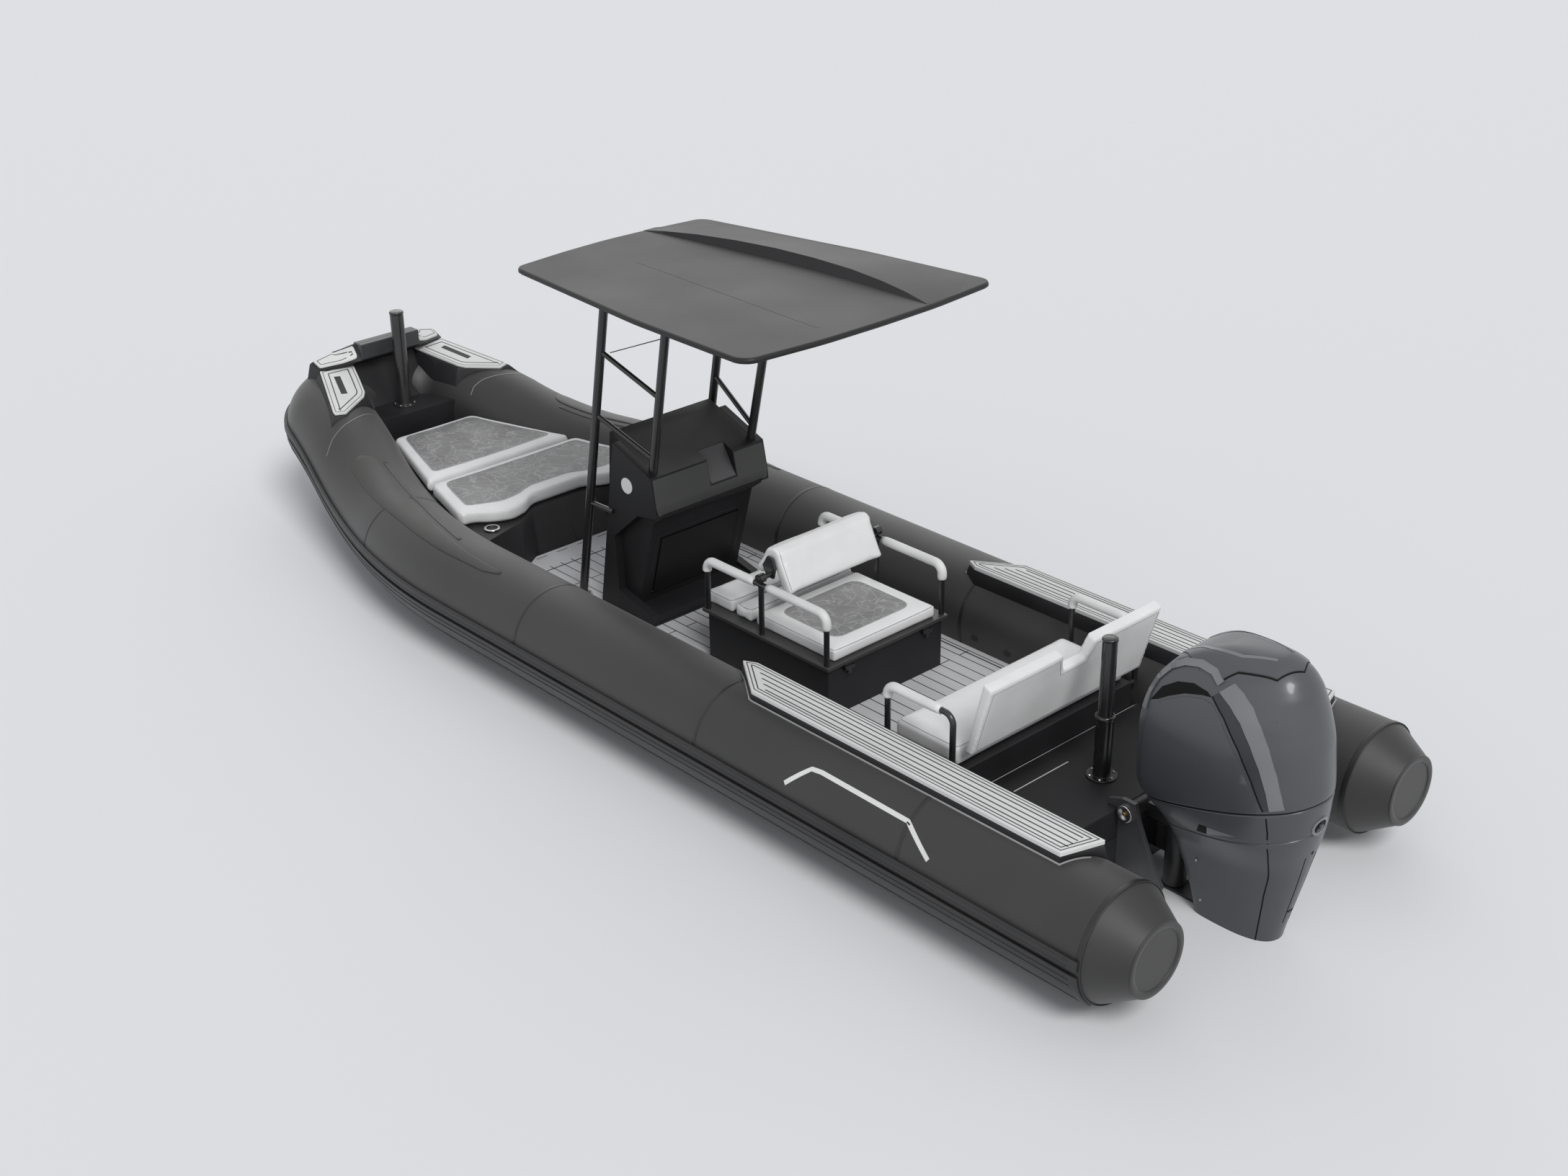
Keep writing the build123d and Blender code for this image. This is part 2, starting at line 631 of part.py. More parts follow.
def helm_cushions():
    z0 = HELM_LID_TOP + SOFT_GAP
    return Compound(children=[box(x0, x1, -HELM_CUSHION_HALF, HELM_CUSHION_HALF, z0, HELM_LID_TOP + HELM_CUSHION_H)
                              for x0, x1 in HELM_CUSHIONS])


def arm_frame(posts, y, foot_z, rail_z, bend, middle=None):
    """Two posts and the rail that joins them, as one bent tube, with a post between."""
    aft, fore = posts
    frame = bent_rod([(aft, y, foot_z), (aft, y, rail_z), (fore, y, rail_z), (fore, y, foot_z)], POST_R, bend)
    if middle is not None:
        frame += rod((middle, y, foot_z), (middle, y, rail_z), POST_R)
    return frame


def arm_pad(x0, x1, y, z):
    """A soft sleeve round the rail."""
    return rod((x0, y, z), (x1, y, z), PAD_R) - rod((x0, y, z), (x1, y, z), POST_R + SOFT_GAP)


def helm_arm_frames():
    aft, middle, fore = HELM_POSTS
    frame = arm_frame((aft, fore), ARM_Y, HELM_LID_TOP, ARM_TUBE_Z, ARM_BEND, middle)
    frame += cylinder_y(PIVOT_X, ARM_Y - PIVOT_HOUSING / 2, ARM_Y + PIVOT_HOUSING / 2, PIVOT_Z, PIVOT_HOUSING_R)
    frame -= cylinder_y(PIVOT_X, ARM_Y - PIVOT_HOUSING, ARM_Y + PIVOT_HOUSING, PIVOT_Z, PIVOT_R + PIN_FIT)
    return Compound(children=[frame, mirrored(frame)])


def helm_arm_pads():
    aft, middle, fore = HELM_POSTS
    pads = []
    for x0, x1 in ((aft + ARM_BEND, middle - PAD_CLEAR), (middle + PAD_CLEAR, fore - ARM_BEND)):
        pad = arm_pad(x0, x1, ARM_Y, ARM_TUBE_Z)
        pads += [pad, mirrored(pad)]
    return Compound(children=pads)


def helm_backrest():
    return prism_y(BACK_SECTION, -BACK_HALF, BACK_HALF)


def backrest_links():
    """A pin on each side through the arm's housing, and the lug that joins it to the backrest."""
    pin = cylinder_y(PIVOT_X, BACK_HALF, ARM_Y + PIVOT_HOUSING / 2 + PIN_PROUD, PIVOT_Z, PIVOT_R)
    lug = prism_y(LUG_SECTION, BACK_HALF, BACK_HALF + LUG_T)
    link = pin + lug
    return Compound(children=[link, mirrored(link)])


# ================================================================ aft bench
def bench_base():
    return box(BENCH_X0, BENCH_X1, -BENCH_HALF, BENCH_HALF, FLOOR_Z, BENCH_Z)


def bench_cushion():
    return box(BENCH_X0 + BENCH_SEAT_SHORT, BENCH_X1, -BENCH_HALF, BENCH_HALF, BENCH_Z + SOFT_GAP, BENCH_SEAT_TOP)


def bench_backrest():
    back = prism_y(BENCH_BACK, -BENCH_HALF, BENCH_HALF)
    top = max(z for x, z in BENCH_BACK)
    notch_half = [(NOTCH_TOP_HALF, top + CUT_PAST), (NOTCH_LOW_HALF, NOTCH_Z)]
    plane = Plane(origin=(BENCH_BACK_X0, 0, 0), x_dir=(0, 1, 0), z_dir=(1, 0, 0))
    notch = extrude(plane * outline(notch_half + [(-y, z) for y, z in reversed(notch_half)]), BENCH_BACK_REACH)
    return back - notch


def bench_arm_frames():
    frame = arm_frame(BENCH_POSTS, BENCH_ARM_Y, BENCH_ARM_FOOT, BENCH_ARM_Z, ARM_BEND)
    for x in BENCH_POSTS:
        frame += cylinder_y(x, BENCH_HALF, BENCH_ARM_Y, BENCH_PEG_Z, BENCH_PEG_R)
    return Compound(children=[frame, mirrored(frame)])


def bench_arm_pads():
    aft, fore = BENCH_POSTS
    pad = arm_pad(aft + ARM_BEND, fore - ARM_BEND, BENCH_ARM_Y, BENCH_ARM_Z)
    return Compound(children=[pad, mirrored(pad)])


# ================================================================ outboard engine
def clamp_bracket():
    """Two plates hooked over the transom, and the tilt tube through them."""
    plate = prism_y(CLAMP_SIDE, CLAMP_Y, CLAMP_Y + CLAMP_T)
    outer = CLAMP_Y + CLAMP_T + TILT_BOSS_T
    boss = cylinder_y(TILT_X, CLAMP_Y + CLAMP_T, outer, TILT_Z, TILT_BOSS_R)
    tube = cylinder_y(TILT_X, -outer, outer, TILT_Z, TILT_R)
    return plate + mirrored(plate) + boss + mirrored(boss) + tube


def swivel_bracket():
    """Turns on the tilt tube and carries the king pin's bore."""
    reach = CLAMP_Y - SWING_GAP
    knuckle = cylinder_y(TILT_X, -reach, reach, TILT_Z, KNUCKLE_R)
    web = box(STEER_X, TILT_X, -SWIVEL_WEB, SWIVEL_WEB, SWIVEL_Z1 - 2 * KNUCKLE_R, SWIVEL_Z1)
    barrel = rod((STEER_X, 0, SWIVEL_Z0), (STEER_X, 0, SWIVEL_Z1), SWIVEL_R)
    body = knuckle + web + barrel
    body -= cylinder_y(TILT_X, -CLAMP_Y, CLAMP_Y, TILT_Z, TILT_R + PIN_FIT)
    return body - rod((STEER_X, 0, SWIVEL_Z0 - CUT_PAST), (STEER_X, 0, SWIVEL_Z1 + CUT_PAST), STEER_R + PIN_FIT)


def swivel_room():
    """The room that the swivel's barrel needs inside the apron."""
    return rod((STEER_X, 0, SWIVEL_Z0 - SWING_GAP), (STEER_X, 0, SWIVEL_Z1 + YOKE_GAP), SWIVEL_R + SWING_GAP)


def engine_leg():
    """The leg, with the king pin and the two yokes that hold it."""
    leg = prism_y(LEG_SIDE, -LEG_HALF, LEG_HALF)
    low, high = SWIVEL_Z0 - YOKE_GAP, SWIVEL_Z1 + YOKE_GAP
    pin = rod((STEER_X, 0, low - YOKE_T), (STEER_X, 0, high + YOKE_T), STEER_R)
    for z0 in (low - YOKE_T, high):
        leg += box(YOKE_X, STEER_X, -YOKE_HALF, YOKE_HALF, z0, z0 + YOKE_T)
        leg += Pos(STEER_X, 0, z0) * Cylinder(YOKE_HALF, YOKE_T, align=FOOT)
    return leg + pin


def full_widths(half):
    """Half widths at rising heights, completed to starboard."""
    return half + [(-y, z) for y, z in reversed(half) if y > 0]


def engine_cover():
    """The whole cover, as the shape common to its side, end and plan outlines."""
    side = prism_y(COVER_SIDE, -COVER_HALF, COVER_HALF)
    aft, fore = COVER_PLAN[-1][0] - CUT_PAST, COVER_PLAN[0][0] + CUT_PAST
    end_plane = Plane(origin=(aft, 0, 0), x_dir=(0, 1, 0), z_dir=(1, 0, 0))
    end = extrude(end_plane * outline(full_widths(COVER_FRONT)), fore - aft)
    plan = prism_z(full_plan(COVER_PLAN), COVER_FRONT[0][1] - CUT_PAST, COVER_FRONT[-1][1] + CUT_PAST)
    return side & end & plan


def powerhead_block():
    return box(BLOCK_X0, BLOCK_X1, -BLOCK_HALF, BLOCK_HALF, BLOCK_Z0, BLOCK_Z1)


def lower_unit():
    plate = prism_z(full_plan(AV_PLATE), AV_PLATE_Z - AV_PLATE_T, AV_PLATE_Z)
    neck = prism_y(NECK, -NECK_HALF, NECK_HALF)
    case = rod((GEARCASE_X0, 0, PROP_Z), (GEARCASE_X1 - NOSE_CONE_L, 0, PROP_Z), GEARCASE_R)
    nose_base = Plane(origin=(GEARCASE_X1 - NOSE_CONE_L, 0, PROP_Z), z_dir=(1, 0, 0))
    nose = loft([nose_base * Circle(GEARCASE_R), nose_base.offset(NOSE_CONE_L) * Circle(GEARCASE_R / 3)])
    skeg = prism_y(SKEG, -SKEG_HALF, SKEG_HALF)
    shaft = rod((PROP_X0 - SHAFT_PROUD, 0, PROP_Z), (GEARCASE_X0, 0, PROP_Z), SHAFT_R)
    return plate + neck + case + nose + skeg + shaft


def propeller():
    hub = rod((PROP_X0, 0, PROP_Z), (PROP_X1, 0, PROP_Z), HUB_R)
    middle = (PROP_X0 + PROP_X1) / 2
    span = BLADE_TIP_R - SHAFT_R * 1.5
    # one blade: an oval plate that stands up from the shaft, turned to its pitch
    oval = extrude(Plane.YZ * Ellipse(BLADE_CHORD / 2, span / 2), BLADE_T / 2, both=True)
    blade = Pos(0, 0, BLADE_TIP_R - span / 2) * oval
    blade = Rot(0, 0, BLADE_PITCH) * blade
    for i in range(BLADE_COUNT):
        hub += Pos(middle, 0, PROP_Z) * Rot(360 / BLADE_COUNT * i, 0, 0) * blade
    return hub - rod((PROP_X0 - CUT_PAST, 0, PROP_Z), (PROP_X1 + CUT_PAST, 0, PROP_Z), SHAFT_R + PIN_FIT)


# ================================================================ assembly
def strakes():
    """The rubber strips along both tubes."""
    strips = [strake_half(*row) for row in STRAKE_ROWS]
    return Compound(children=[strip + mirrored(strip) for strip in strips])


def pair(shape):
    """A piece and its twin on the other side, as separate solids."""
    return Compound(children=[shape, mirrored(shape)])


def assembly():
    """Every node's name and its solids."""
    tubes = tube_pair(TUBE_R)
    soft_tubes = tube_pair(TUBE_R + SOFT_GAP)
    rub_strakes = strakes()
    hull = rigid_hull(tubes)
    moulding = bow_moulding(tubes)
    locker = bow_locker(tubes, hull, moulding)
    console = console_body()
    roof = hardtop_roof()
    leg = engine_leg()
    cover = engine_cover()
    block = powerhead_block()
    above_seam = box(2 * STERN_X, 0, -COVER_HALF, COVER_HALF, COWL_SEAM_Z, 2 * COVER_FRONT[-1][1])
    return {
        "buoyancy_tubes": tubes,
        "tube_end_cones": tube_end_cones(),
        "rub_strakes": rub_strakes,
        "rigid_hull": hull - rub_strakes,
        "bow_locker": locker,
        "cockpit_floor": cockpit_floor(tubes, locker),
        "aft_deck": aft_deck(tubes),
        "bow_moulding": moulding,
        "bow_platform": bow_platform(tubes, hull, moulding),
        "nose_box": nose_box(),
        "bow_plates": bow_plates(moulding),
        "bow_post": post(BOW_POST_X, PLATFORM_Z, BOW_POST_TOP, BOW_POST_R, BOW_POST_R, BOW_POST_TOP - PLATFORM_Z),
        "tow_post": post(TOW_POST_X, AFT_DECK_Z, TOW_POST_TOP, TOW_POST_LOW_R, TOW_POST_R, TOW_POST_LOW_H),
        "bow_cushion_fore": bow_cushion(FORE_CUSHION, soft_tubes),
        "bow_cushion_aft": bow_cushion(AFT_CUSHION, soft_tubes),
        "cup_holders": cup_holders(),
        "side_deck_plinths": pair(deck_plinth(tubes)),
        "side_deck_pads": pair(deck_pad()),
        "console": console,
        "console_door": console_door(),
        "dash_recess_panel": dash_recess_panel(),
        "console_discs": console_discs(),
        "hardtop_roof": roof,
        "hardtop_frame": hardtop_frame(roof, console),
        "helm_base": helm_base(),
        "helm_lid": helm_lid(),
        "helm_cushions": helm_cushions(),
        "helm_arm_frames": helm_arm_frames(),
        "helm_arm_pads": helm_arm_pads(),
        "helm_backrest": helm_backrest(),
        "backrest_links": backrest_links(),
        "bench_base": bench_base(),
        "bench_cushion": bench_cushion(),
        "bench_backrest": bench_backrest(),
        "bench_arm_frames": bench_arm_frames(),
        "bench_arm_pads": bench_arm_pads(),
        "clamp_bracket": clamp_bracket(),
        "swivel_bracket": swivel_bracket(),
        "engine_leg": leg,
        "engine_apron": cover - above_seam - leg - swivel_room(),
        "engine_cowl": (cover & above_seam) - block - leg,
        "powerhead_block": block,
        "lower_unit": lower_unit(),
        "propeller": propeller(),
    }


for name, shape in assembly().items():
    export_step(shape, f"parts/{name}.step")
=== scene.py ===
from math import ceil, cos, pi, radians, sin, sqrt

import bmesh
import bpy
from mathutils import Matrix, Vector
from mathutils.bvhtree import BVHTree


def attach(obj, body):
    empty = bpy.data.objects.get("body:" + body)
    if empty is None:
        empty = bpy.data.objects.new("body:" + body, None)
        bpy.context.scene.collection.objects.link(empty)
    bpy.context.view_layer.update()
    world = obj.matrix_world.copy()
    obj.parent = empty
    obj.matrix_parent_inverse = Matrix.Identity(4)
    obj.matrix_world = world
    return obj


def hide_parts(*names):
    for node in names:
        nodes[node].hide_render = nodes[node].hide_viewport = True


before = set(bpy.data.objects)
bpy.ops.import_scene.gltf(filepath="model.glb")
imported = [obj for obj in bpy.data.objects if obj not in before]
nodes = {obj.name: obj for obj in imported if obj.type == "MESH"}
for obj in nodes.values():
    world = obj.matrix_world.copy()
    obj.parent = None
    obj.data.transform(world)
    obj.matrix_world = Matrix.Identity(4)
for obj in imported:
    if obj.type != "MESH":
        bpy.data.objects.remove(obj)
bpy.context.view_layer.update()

scene = bpy.context.scene
SIDES = ((1, "port"), (-1, "starboard"))


# ---------------- camera
# A plain camera over the port quarter, looking forward and down at the boat.
camera_place = Vector((-8.254, 7.111, 5.810))
camera_yaw, camera_down, camera_roll = radians(-42.491), radians(26.2), radians(-0.7415)
ahead = Vector((cos(camera_down) * cos(camera_yaw), cos(camera_down) * sin(camera_yaw), -sin(camera_down)))
level_right = ahead.cross(Vector((0, 0, 1))).normalized()
level_up = level_right.cross(ahead)
right = level_right * cos(camera_roll) + level_up * sin(camera_roll)
up = level_up * cos(camera_roll) - level_right * sin(camera_roll)
lens = bpy.data.cameras.new("camera")
lens.lens = 47.43
lens.sensor_width = 36
lens.clip_end = 500
camera = bpy.data.objects.new("camera", lens)
camera.matrix_world = Matrix.Translation(camera_place) @ Matrix((right, up, -ahead)).transposed().to_4x4()
scene.collection.objects.link(camera)
scene.camera = camera


# ---------------- studio
# A pale floor at the waterline, a white surround, and three large soft lamps.
scene.view_settings.view_transform = "Standard"


def node_adder(tree):
    """A function that adds a shader node to a tree, and sets or links its inputs."""
    def add(kind, inputs=None, **settings):
        node = tree.nodes.new(kind)
        for key, value in settings.items():
            setattr(node, key, value)
        for key, value in (inputs or {}).items():
            if isinstance(value, bpy.types.NodeSocket):
                tree.links.new(value, node.inputs[key])
            else:
                node.inputs[key].default_value = value
        return node

    return add


def shader_material(name):
    """A material, its Principled shader and its function that adds nodes."""
    material = bpy.data.materials.new(name)
    material.use_nodes = True
    return material, material.node_tree.nodes["Principled BSDF"], node_adder(material.node_tree)


world = bpy.data.worlds.new("studio")
scene.world = world
world.use_nodes = True
surround = world.node_tree.nodes["Background"]
surround.inputs["Strength"].default_value = 0.40
surround.inputs["Color"].default_value = (0.93, 0.95, 1.0, 1)
# the camera, reflections and refractions see plain white, and the surround lights the rest
add_to_world = node_adder(world.node_tree)
rays = add_to_world("ShaderNodeLightPath").outputs
bent = add_to_world("ShaderNodeMath", {0: rays["Is Glossy Ray"], 1: rays["Is Transmission Ray"]}, operation="MAXIMUM")
seen = add_to_world("ShaderNodeMath", {0: rays["Is Camera Ray"], 1: bent.outputs[0]}, operation="MAXIMUM")
white = add_to_world("ShaderNodeBackground", {"Strength": 1.0})
choose = add_to_world("ShaderNodeMixShader", {0: seen.outputs[0], 1: surround.outputs[0], 2: white.outputs[0]})
world.node_tree.links.new(choose.outputs[0], world.node_tree.nodes["World Output"].inputs[0])

bpy.ops.mesh.primitive_plane_add(size=300, location=(0, 0, 0))
floor = bpy.context.object
floor.name = "studio_floor"
floor_paint, floor_shader, _ = shader_material("studio_floor")
floor_shader.inputs["Base Color"].default_value = (0.80, 0.81, 0.82, 1)
floor_shader.inputs["Roughness"].default_value = 0.9
floor.data.materials.append(floor_paint)

for name, place, strength, spread in (
    ("key", (-7, 2.5, 8), 1.85, 24),
    ("bow_fill", (6, -5, 5), 0.35, 50),
    ("port_fill", (-2, 9, 3.5), 0.20, 60),
):
    lamp = bpy.data.lights.new(name, "SUN")
    lamp.energy = strength
    lamp.angle = radians(spread)
    lamp_object = bpy.data.objects.new(name, lamp)
    lamp_object.location = place
    lamp_object.rotation_euler = (-Vector(place)).to_track_quat("-Z", "Y").to_euler()
    scene.collection.objects.link(lamp_object)


# ---------------- buoyancy tubes
# Air-filled tubes of coated fabric, glued from panels whose seams are taped over.
# The fabric is matte charcoal, with a fine weave and a slight bloom of dust.
# one effect for every finish: slow blotches for colour and gloss, and a fine grain for the bump
aged = bpy.data.node_groups.new("aged_surface", "ShaderNodeTree")
for label, kind, value in (("Blotch Scale", "NodeSocketFloat", 2.0), ("Grain Scale", "NodeSocketFloat", 400.0),
                           ("Stretch", "NodeSocketVector", (1, 1, 1))):
    aged.interface.new_socket(label, in_out="INPUT", socket_type=kind).default_value = value
aged_in, aged_out = aged.nodes.new("NodeGroupInput"), aged.nodes.new("NodeGroupOutput")
add_to_aged = node_adder(aged)
where = add_to_aged("ShaderNodeTexCoord").outputs["Object"]
stretched = add_to_aged("ShaderNodeVectorMath", {0: where, 1: aged_in.outputs["Stretch"]}, operation="MULTIPLY")
for label, detail in (("Blotch", 4.0), ("Grain", 2.0)):
    aged.interface.new_socket(label, in_out="OUTPUT", socket_type="NodeSocketFloat")
    noise = add_to_aged("ShaderNodeTexNoise", {"Detail": detail, "Vector": stretched.outputs[0],
                                               "Scale": aged_in.outputs[label + " Scale"]})
    wider = add_to_aged("ShaderNodeMapRange", {"From Min": 0.3, "From Max": 0.7, "Value": noise.outputs["Fac"]})
    aged.links.new(wider.outputs["Result"], aged_out.inputs[label])


def tone(colour):
    """A colour with its alpha, from a colour or a plain grey."""
    return (colour, colour, colour, 1) if isinstance(colour, float) else (*colour, 1)


def finish_material(name, dark, light, rough, blotch=2.0, grain=400.0, relief=0.1, depth=0.0004, stretch=(1, 1, 1),
                    **sockets):
    """A finish whose colour and gloss drift over the surface, with a fine grain.
    dark and light are the ends of its colour, rough those of its roughness; the rest are the shader's own sockets."""
    material, principled, add = shader_material(name)
    effect = add("ShaderNodeGroup", {"Blotch Scale": blotch, "Grain Scale": grain, "Stretch": stretch},
                 node_tree=aged)
    drift = effect.outputs["Blotch"]
    colour = add("ShaderNodeMix", {"Factor": drift, 6: tone(dark), 7: tone(light)}, data_type="RGBA")
    gloss = add("ShaderNodeMapRange", {"Value": drift, "To Min": rough[0], "To Max": rough[1]})
    bump = add("ShaderNodeBump", {"Height": effect.outputs["Grain"], "Strength": relief, "Distance": depth})
    for output, socket in ((colour.outputs[2], "Base Color"), (gloss.outputs["Result"], "Roughness"),
                           (bump.outputs["Normal"], "Normal")):
        material.node_tree.links.new(output, principled.inputs[socket])
    for key, value in sockets.items():
        principled.inputs[key.replace("_", " ")].default_value = value
    return material


def round_edges(piece, width, angle, segments=2, harden=True):
    """Rounds the edges that turn by more than an angle in degrees."""
    edge = piece.modifiers.new("edge", "BEVEL")
    edge.width = width
    edge.segments = segments
    edge.limit_method = "ANGLE"
    edge.angle_limit = radians(angle)
    edge.harden_normals = harden


def dress(node, material, soften=None):
    """Gives a CAD node its material, and rounds its sharp edges by soften metres."""
    piece = nodes[node]
    piece.data.materials.clear()
    piece.data.materials.append(material)
    if soften:
        weld = piece.modifiers.new("weld", "WELD")
        weld.merge_threshold = 0.00005
        flat = piece.modifiers.new("flat", "DECIMATE")
        flat.decimate_type = "DISSOLVE"
        flat.angle_limit = radians(0.5)
        round_edges(piece, soften, 30, segments=3)
    return piece


def show(name, mesh, material, body):
    """Puts a mesh in the scene as a piece that rides on a body."""
    mesh.materials.append(material)
    piece = bpy.data.objects.new(name, mesh)
    scene.collection.objects.link(piece)
    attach(piece, body)
    return piece


def add_piece(name, points, faces, material, body, smooth=True):
    """A piece made from points and faces, with its faces turned outwards."""
    mesh = bpy.data.meshes.new(name)
    mesh.from_pydata([tuple(p) for p in points], [], faces)
    if smooth:
        mesh.shade_smooth()
    shape = bmesh.new()
    shape.from_mesh(mesh)
    bmesh.ops.recalc_face_normals(shape, faces=shape.faces)
    shape.to_mesh(mesh)
    shape.free()
    return show(name, mesh, material, body)


def stack_faces(count, around, first=0, closed=False):
    """The faces over a stack of rings of points; closed joins the last ring to the first, or else both get an end."""
    faces = []
    for i in range(count if closed else count - 1):
        a, b = first + i * around, first + (i + 1) % count * around
        faces += [(a + k, a + (k + 1) % around, b + (k + 1) % around, b + k) for k in range(around)]
    if not closed:
        faces += [tuple(start + k for k in range(around)) for start in (first, first + (count - 1) * around)]
    return faces


def stack(name, rows, material, body, closed=False, flat_ends=True):
    """A closed form over a stack of rings with the same number of points."""
    faces = stack_faces(len(rows), len(rows[0]), closed=closed)
    piece = add_piece(name, [p for row in rows for p in row], faces, material, body)
    if flat_ends:
        for polygon in piece.data.polygons:
            polygon.use_smooth = len(polygon.vertices) == 4
    return piece


tube_fabric = finish_material("tube_fabric", 0.019, (0.030, 0.029, 0.028), (0.42, 0.54), blotch=1.3, grain=900,
                              relief=0.25, depth=0.0006, Sheen_Weight=0.15)
dress("buoyancy_tubes", tube_fabric)
dress("tube_end_cones", tube_fabric)

TUBE_R = 0.296
TUBE_Y = 1.0            # the tube's centre line along its straight part


def tube_spine():
    """The port tube's centre line as short steps: (distance run, centre, direction)."""
    bend, rise, level = radians(15), radians(17), radians(6)
    forward = Vector((1, 0, 0))
    heading = Vector((cos(bend), -sin(bend), 0))
    skyward = Vector((0, 0, 1))
    steep = heading * cos(rise) + skyward * sin(rise)
    out = heading * cos(level) + skyward * sin(level)
    across = Vector((0, -1, 0))
    steps = []
    run = 0.0
    place = Vector((-3.75, TUBE_Y, 0.385))
    for length, first, last in ((4.85, forward, forward), (4.0 * bend, forward, heading),
                                (2.9 * rise, heading, steep), (2.757 * (rise - level), steep, out),
                                (0.398 * out.angle(across), out, across), (0.1256, across, across)):
        angle = first.angle(last)
        count = max(2, ceil(length / 0.02))
        for i in range(count):
            share = (i + 0.5) / count
            way = first
            if angle:
                way = (first * sin((1 - share) * angle) + last * sin(share * angle)) / sin(angle)
            steps.append((run, place.copy(), way.normalized()))
            place = place + way.normalized() * (length / count)
            run += length / count
    return steps


spine = tube_spine()
SPINE_LENGTH = spine[-1][0]


def on_tube(run, degrees_up, lift=0.0):
    """A point on the port tube: distance from the stern, angle above its outboard side, and height off the fabric."""
    run = min(max(run, 0), SPINE_LENGTH - 1e-6)
    start, place, way = min(spine, key=lambda step: abs(step[0] - run))
    centre = place + way * (run - start)
    outboard = Vector((0, 0, 1)).cross(way).normalized()
    over = way.cross(outboard)
    angle = radians(degrees_up)
    return centre + (outboard * cos(angle) + over * sin(angle)) * (TUBE_R + lift)


def tube_patch(name, rows, material, lift):
    """A patch glued on the tube: rows of (run, from angle, to angle), raised by lift with closed edges."""
    across = max(4, ceil(max(high - low for _, low, high in rows) / 6))
    for side, label in SIDES:
        points, faces = [], []
        for run, low, high in rows:
            for height in (lift, -0.002):
                for k in range(across + 1):
                    p = on_tube(run, low + (high - low) * k / across, height)
                    points.append((p.x, p.y * side, p.z))
        wide = 2 * (across + 1)
        for i in range(len(rows) - 1):
            a, b = i * wide, (i + 1) * wide
            for k in range(across):
                faces.append((a + k, a + k + 1, b + k + 1, b + k))
            faces.append((a, b, b + across + 1, a + across + 1))
            faces.append((a + across, a + 2 * across + 1, b + 2 * across + 1, b + across))
        for a in (0, (len(rows) - 1) * wide):
            for k in range(across):
                faces.append((a + k, a + k + 1, a + across + 2 + k, a + across + 1 + k))
        piece = add_piece(name + "_" + label, points, faces, material, "boat")
        round_edges(piece, lift / 3, 40, harden=False)


def steps_between(start, end, pitch=0.05):
    count = max(1, ceil(abs(end - start) / pitch))
    return [start + (end - start) * i / count for i in range(count + 1)]


seam_tape = finish_material("seam_tape", 0.015, 0.022, (0.34, 0.44), blotch=3, grain=700, relief=0.15)
for number, run in enumerate((1.1, 2.55, 4.1, 5.75)):
    tube_patch(f"tube_seam_{number}", [(run - 0.012, -4, 205), (run + 0.012, -4, 205)], seam_tape, 0.0015)

# raised wear pads on the tube tops at the bow, with a narrower dark band along their inner edge
pad_rubber = finish_material("pad_rubber", (0.026, 0.025, 0.025), (0.038, 0.037, 0.035), (0.34, 0.44), blotch=4,
                             grain=1200, relief=0.2)
PAD_OUTER = [(4.48, 70), (4.60, 64), (5.02, 62), (5.53, 63), (6.10, 59), (6.40, 59)]
PAD_INNER = [(4.48, 74), (4.80, 76), (5.20, 86), (5.56, 93), (6.10, 94), (6.40, 93)]


def between(table, value):
    """A value read from a table of pairs, in straight runs between its rows."""
    for (a, first), (b, last) in zip(table, table[1:]):
        if value <= b:
            return first + (last - first) * max(0.0, (value - a) / (b - a))
    return table[-1][1]


pad_rows = []
for run in steps_between(4.48, 6.50, 0.04):
    low, high = between(PAD_OUTER, run), between(PAD_INNER, run)
    tip = sqrt(max(0.03, 1 - max(0.0, (run - 6.36) / 0.14) ** 2))
    middle = (low + high) / 2
    pad_rows.append((run, middle + (low - middle) * tip, middle + (high - middle) * tip))
tube_patch("bow_wear_pad", pad_rows, pad_rubber, 0.005)
band_rows = [(run, between(PAD_INNER, run) + 5, between(PAD_INNER, run) + 10)
             for run in steps_between(5.0, 6.36, 0.04)]
tube_patch("bow_wear_band", band_rows, seam_tape, 0.003)

# the white bracket-shaped stripe on each tube's quarter
stripe_white = finish_material("stripe_white", (0.72, 0.72, 0.71), (0.80, 0.80, 0.79), (0.40, 0.50), blotch=5,
                               grain=800)
STRIPE = [(1.880, 21.0), (1.756, 45.5), (1.694, 47.0), (1.107, 45.5), (0.918, 23.0)]


def strip_faces(count, first=0, closed=False):
    """The faces over a row of four points each, open underneath; a strip that isn't closed gets both its ends."""
    last = first + 4 * (count - 1)
    faces = [(a + k, a + k + 1, a + 5 + k, a + 4 + k) for a in range(first, last, 4) for k in range(3)]
    return faces if closed else faces + [tuple(range(a, a + 4)) for a in (first, last)]


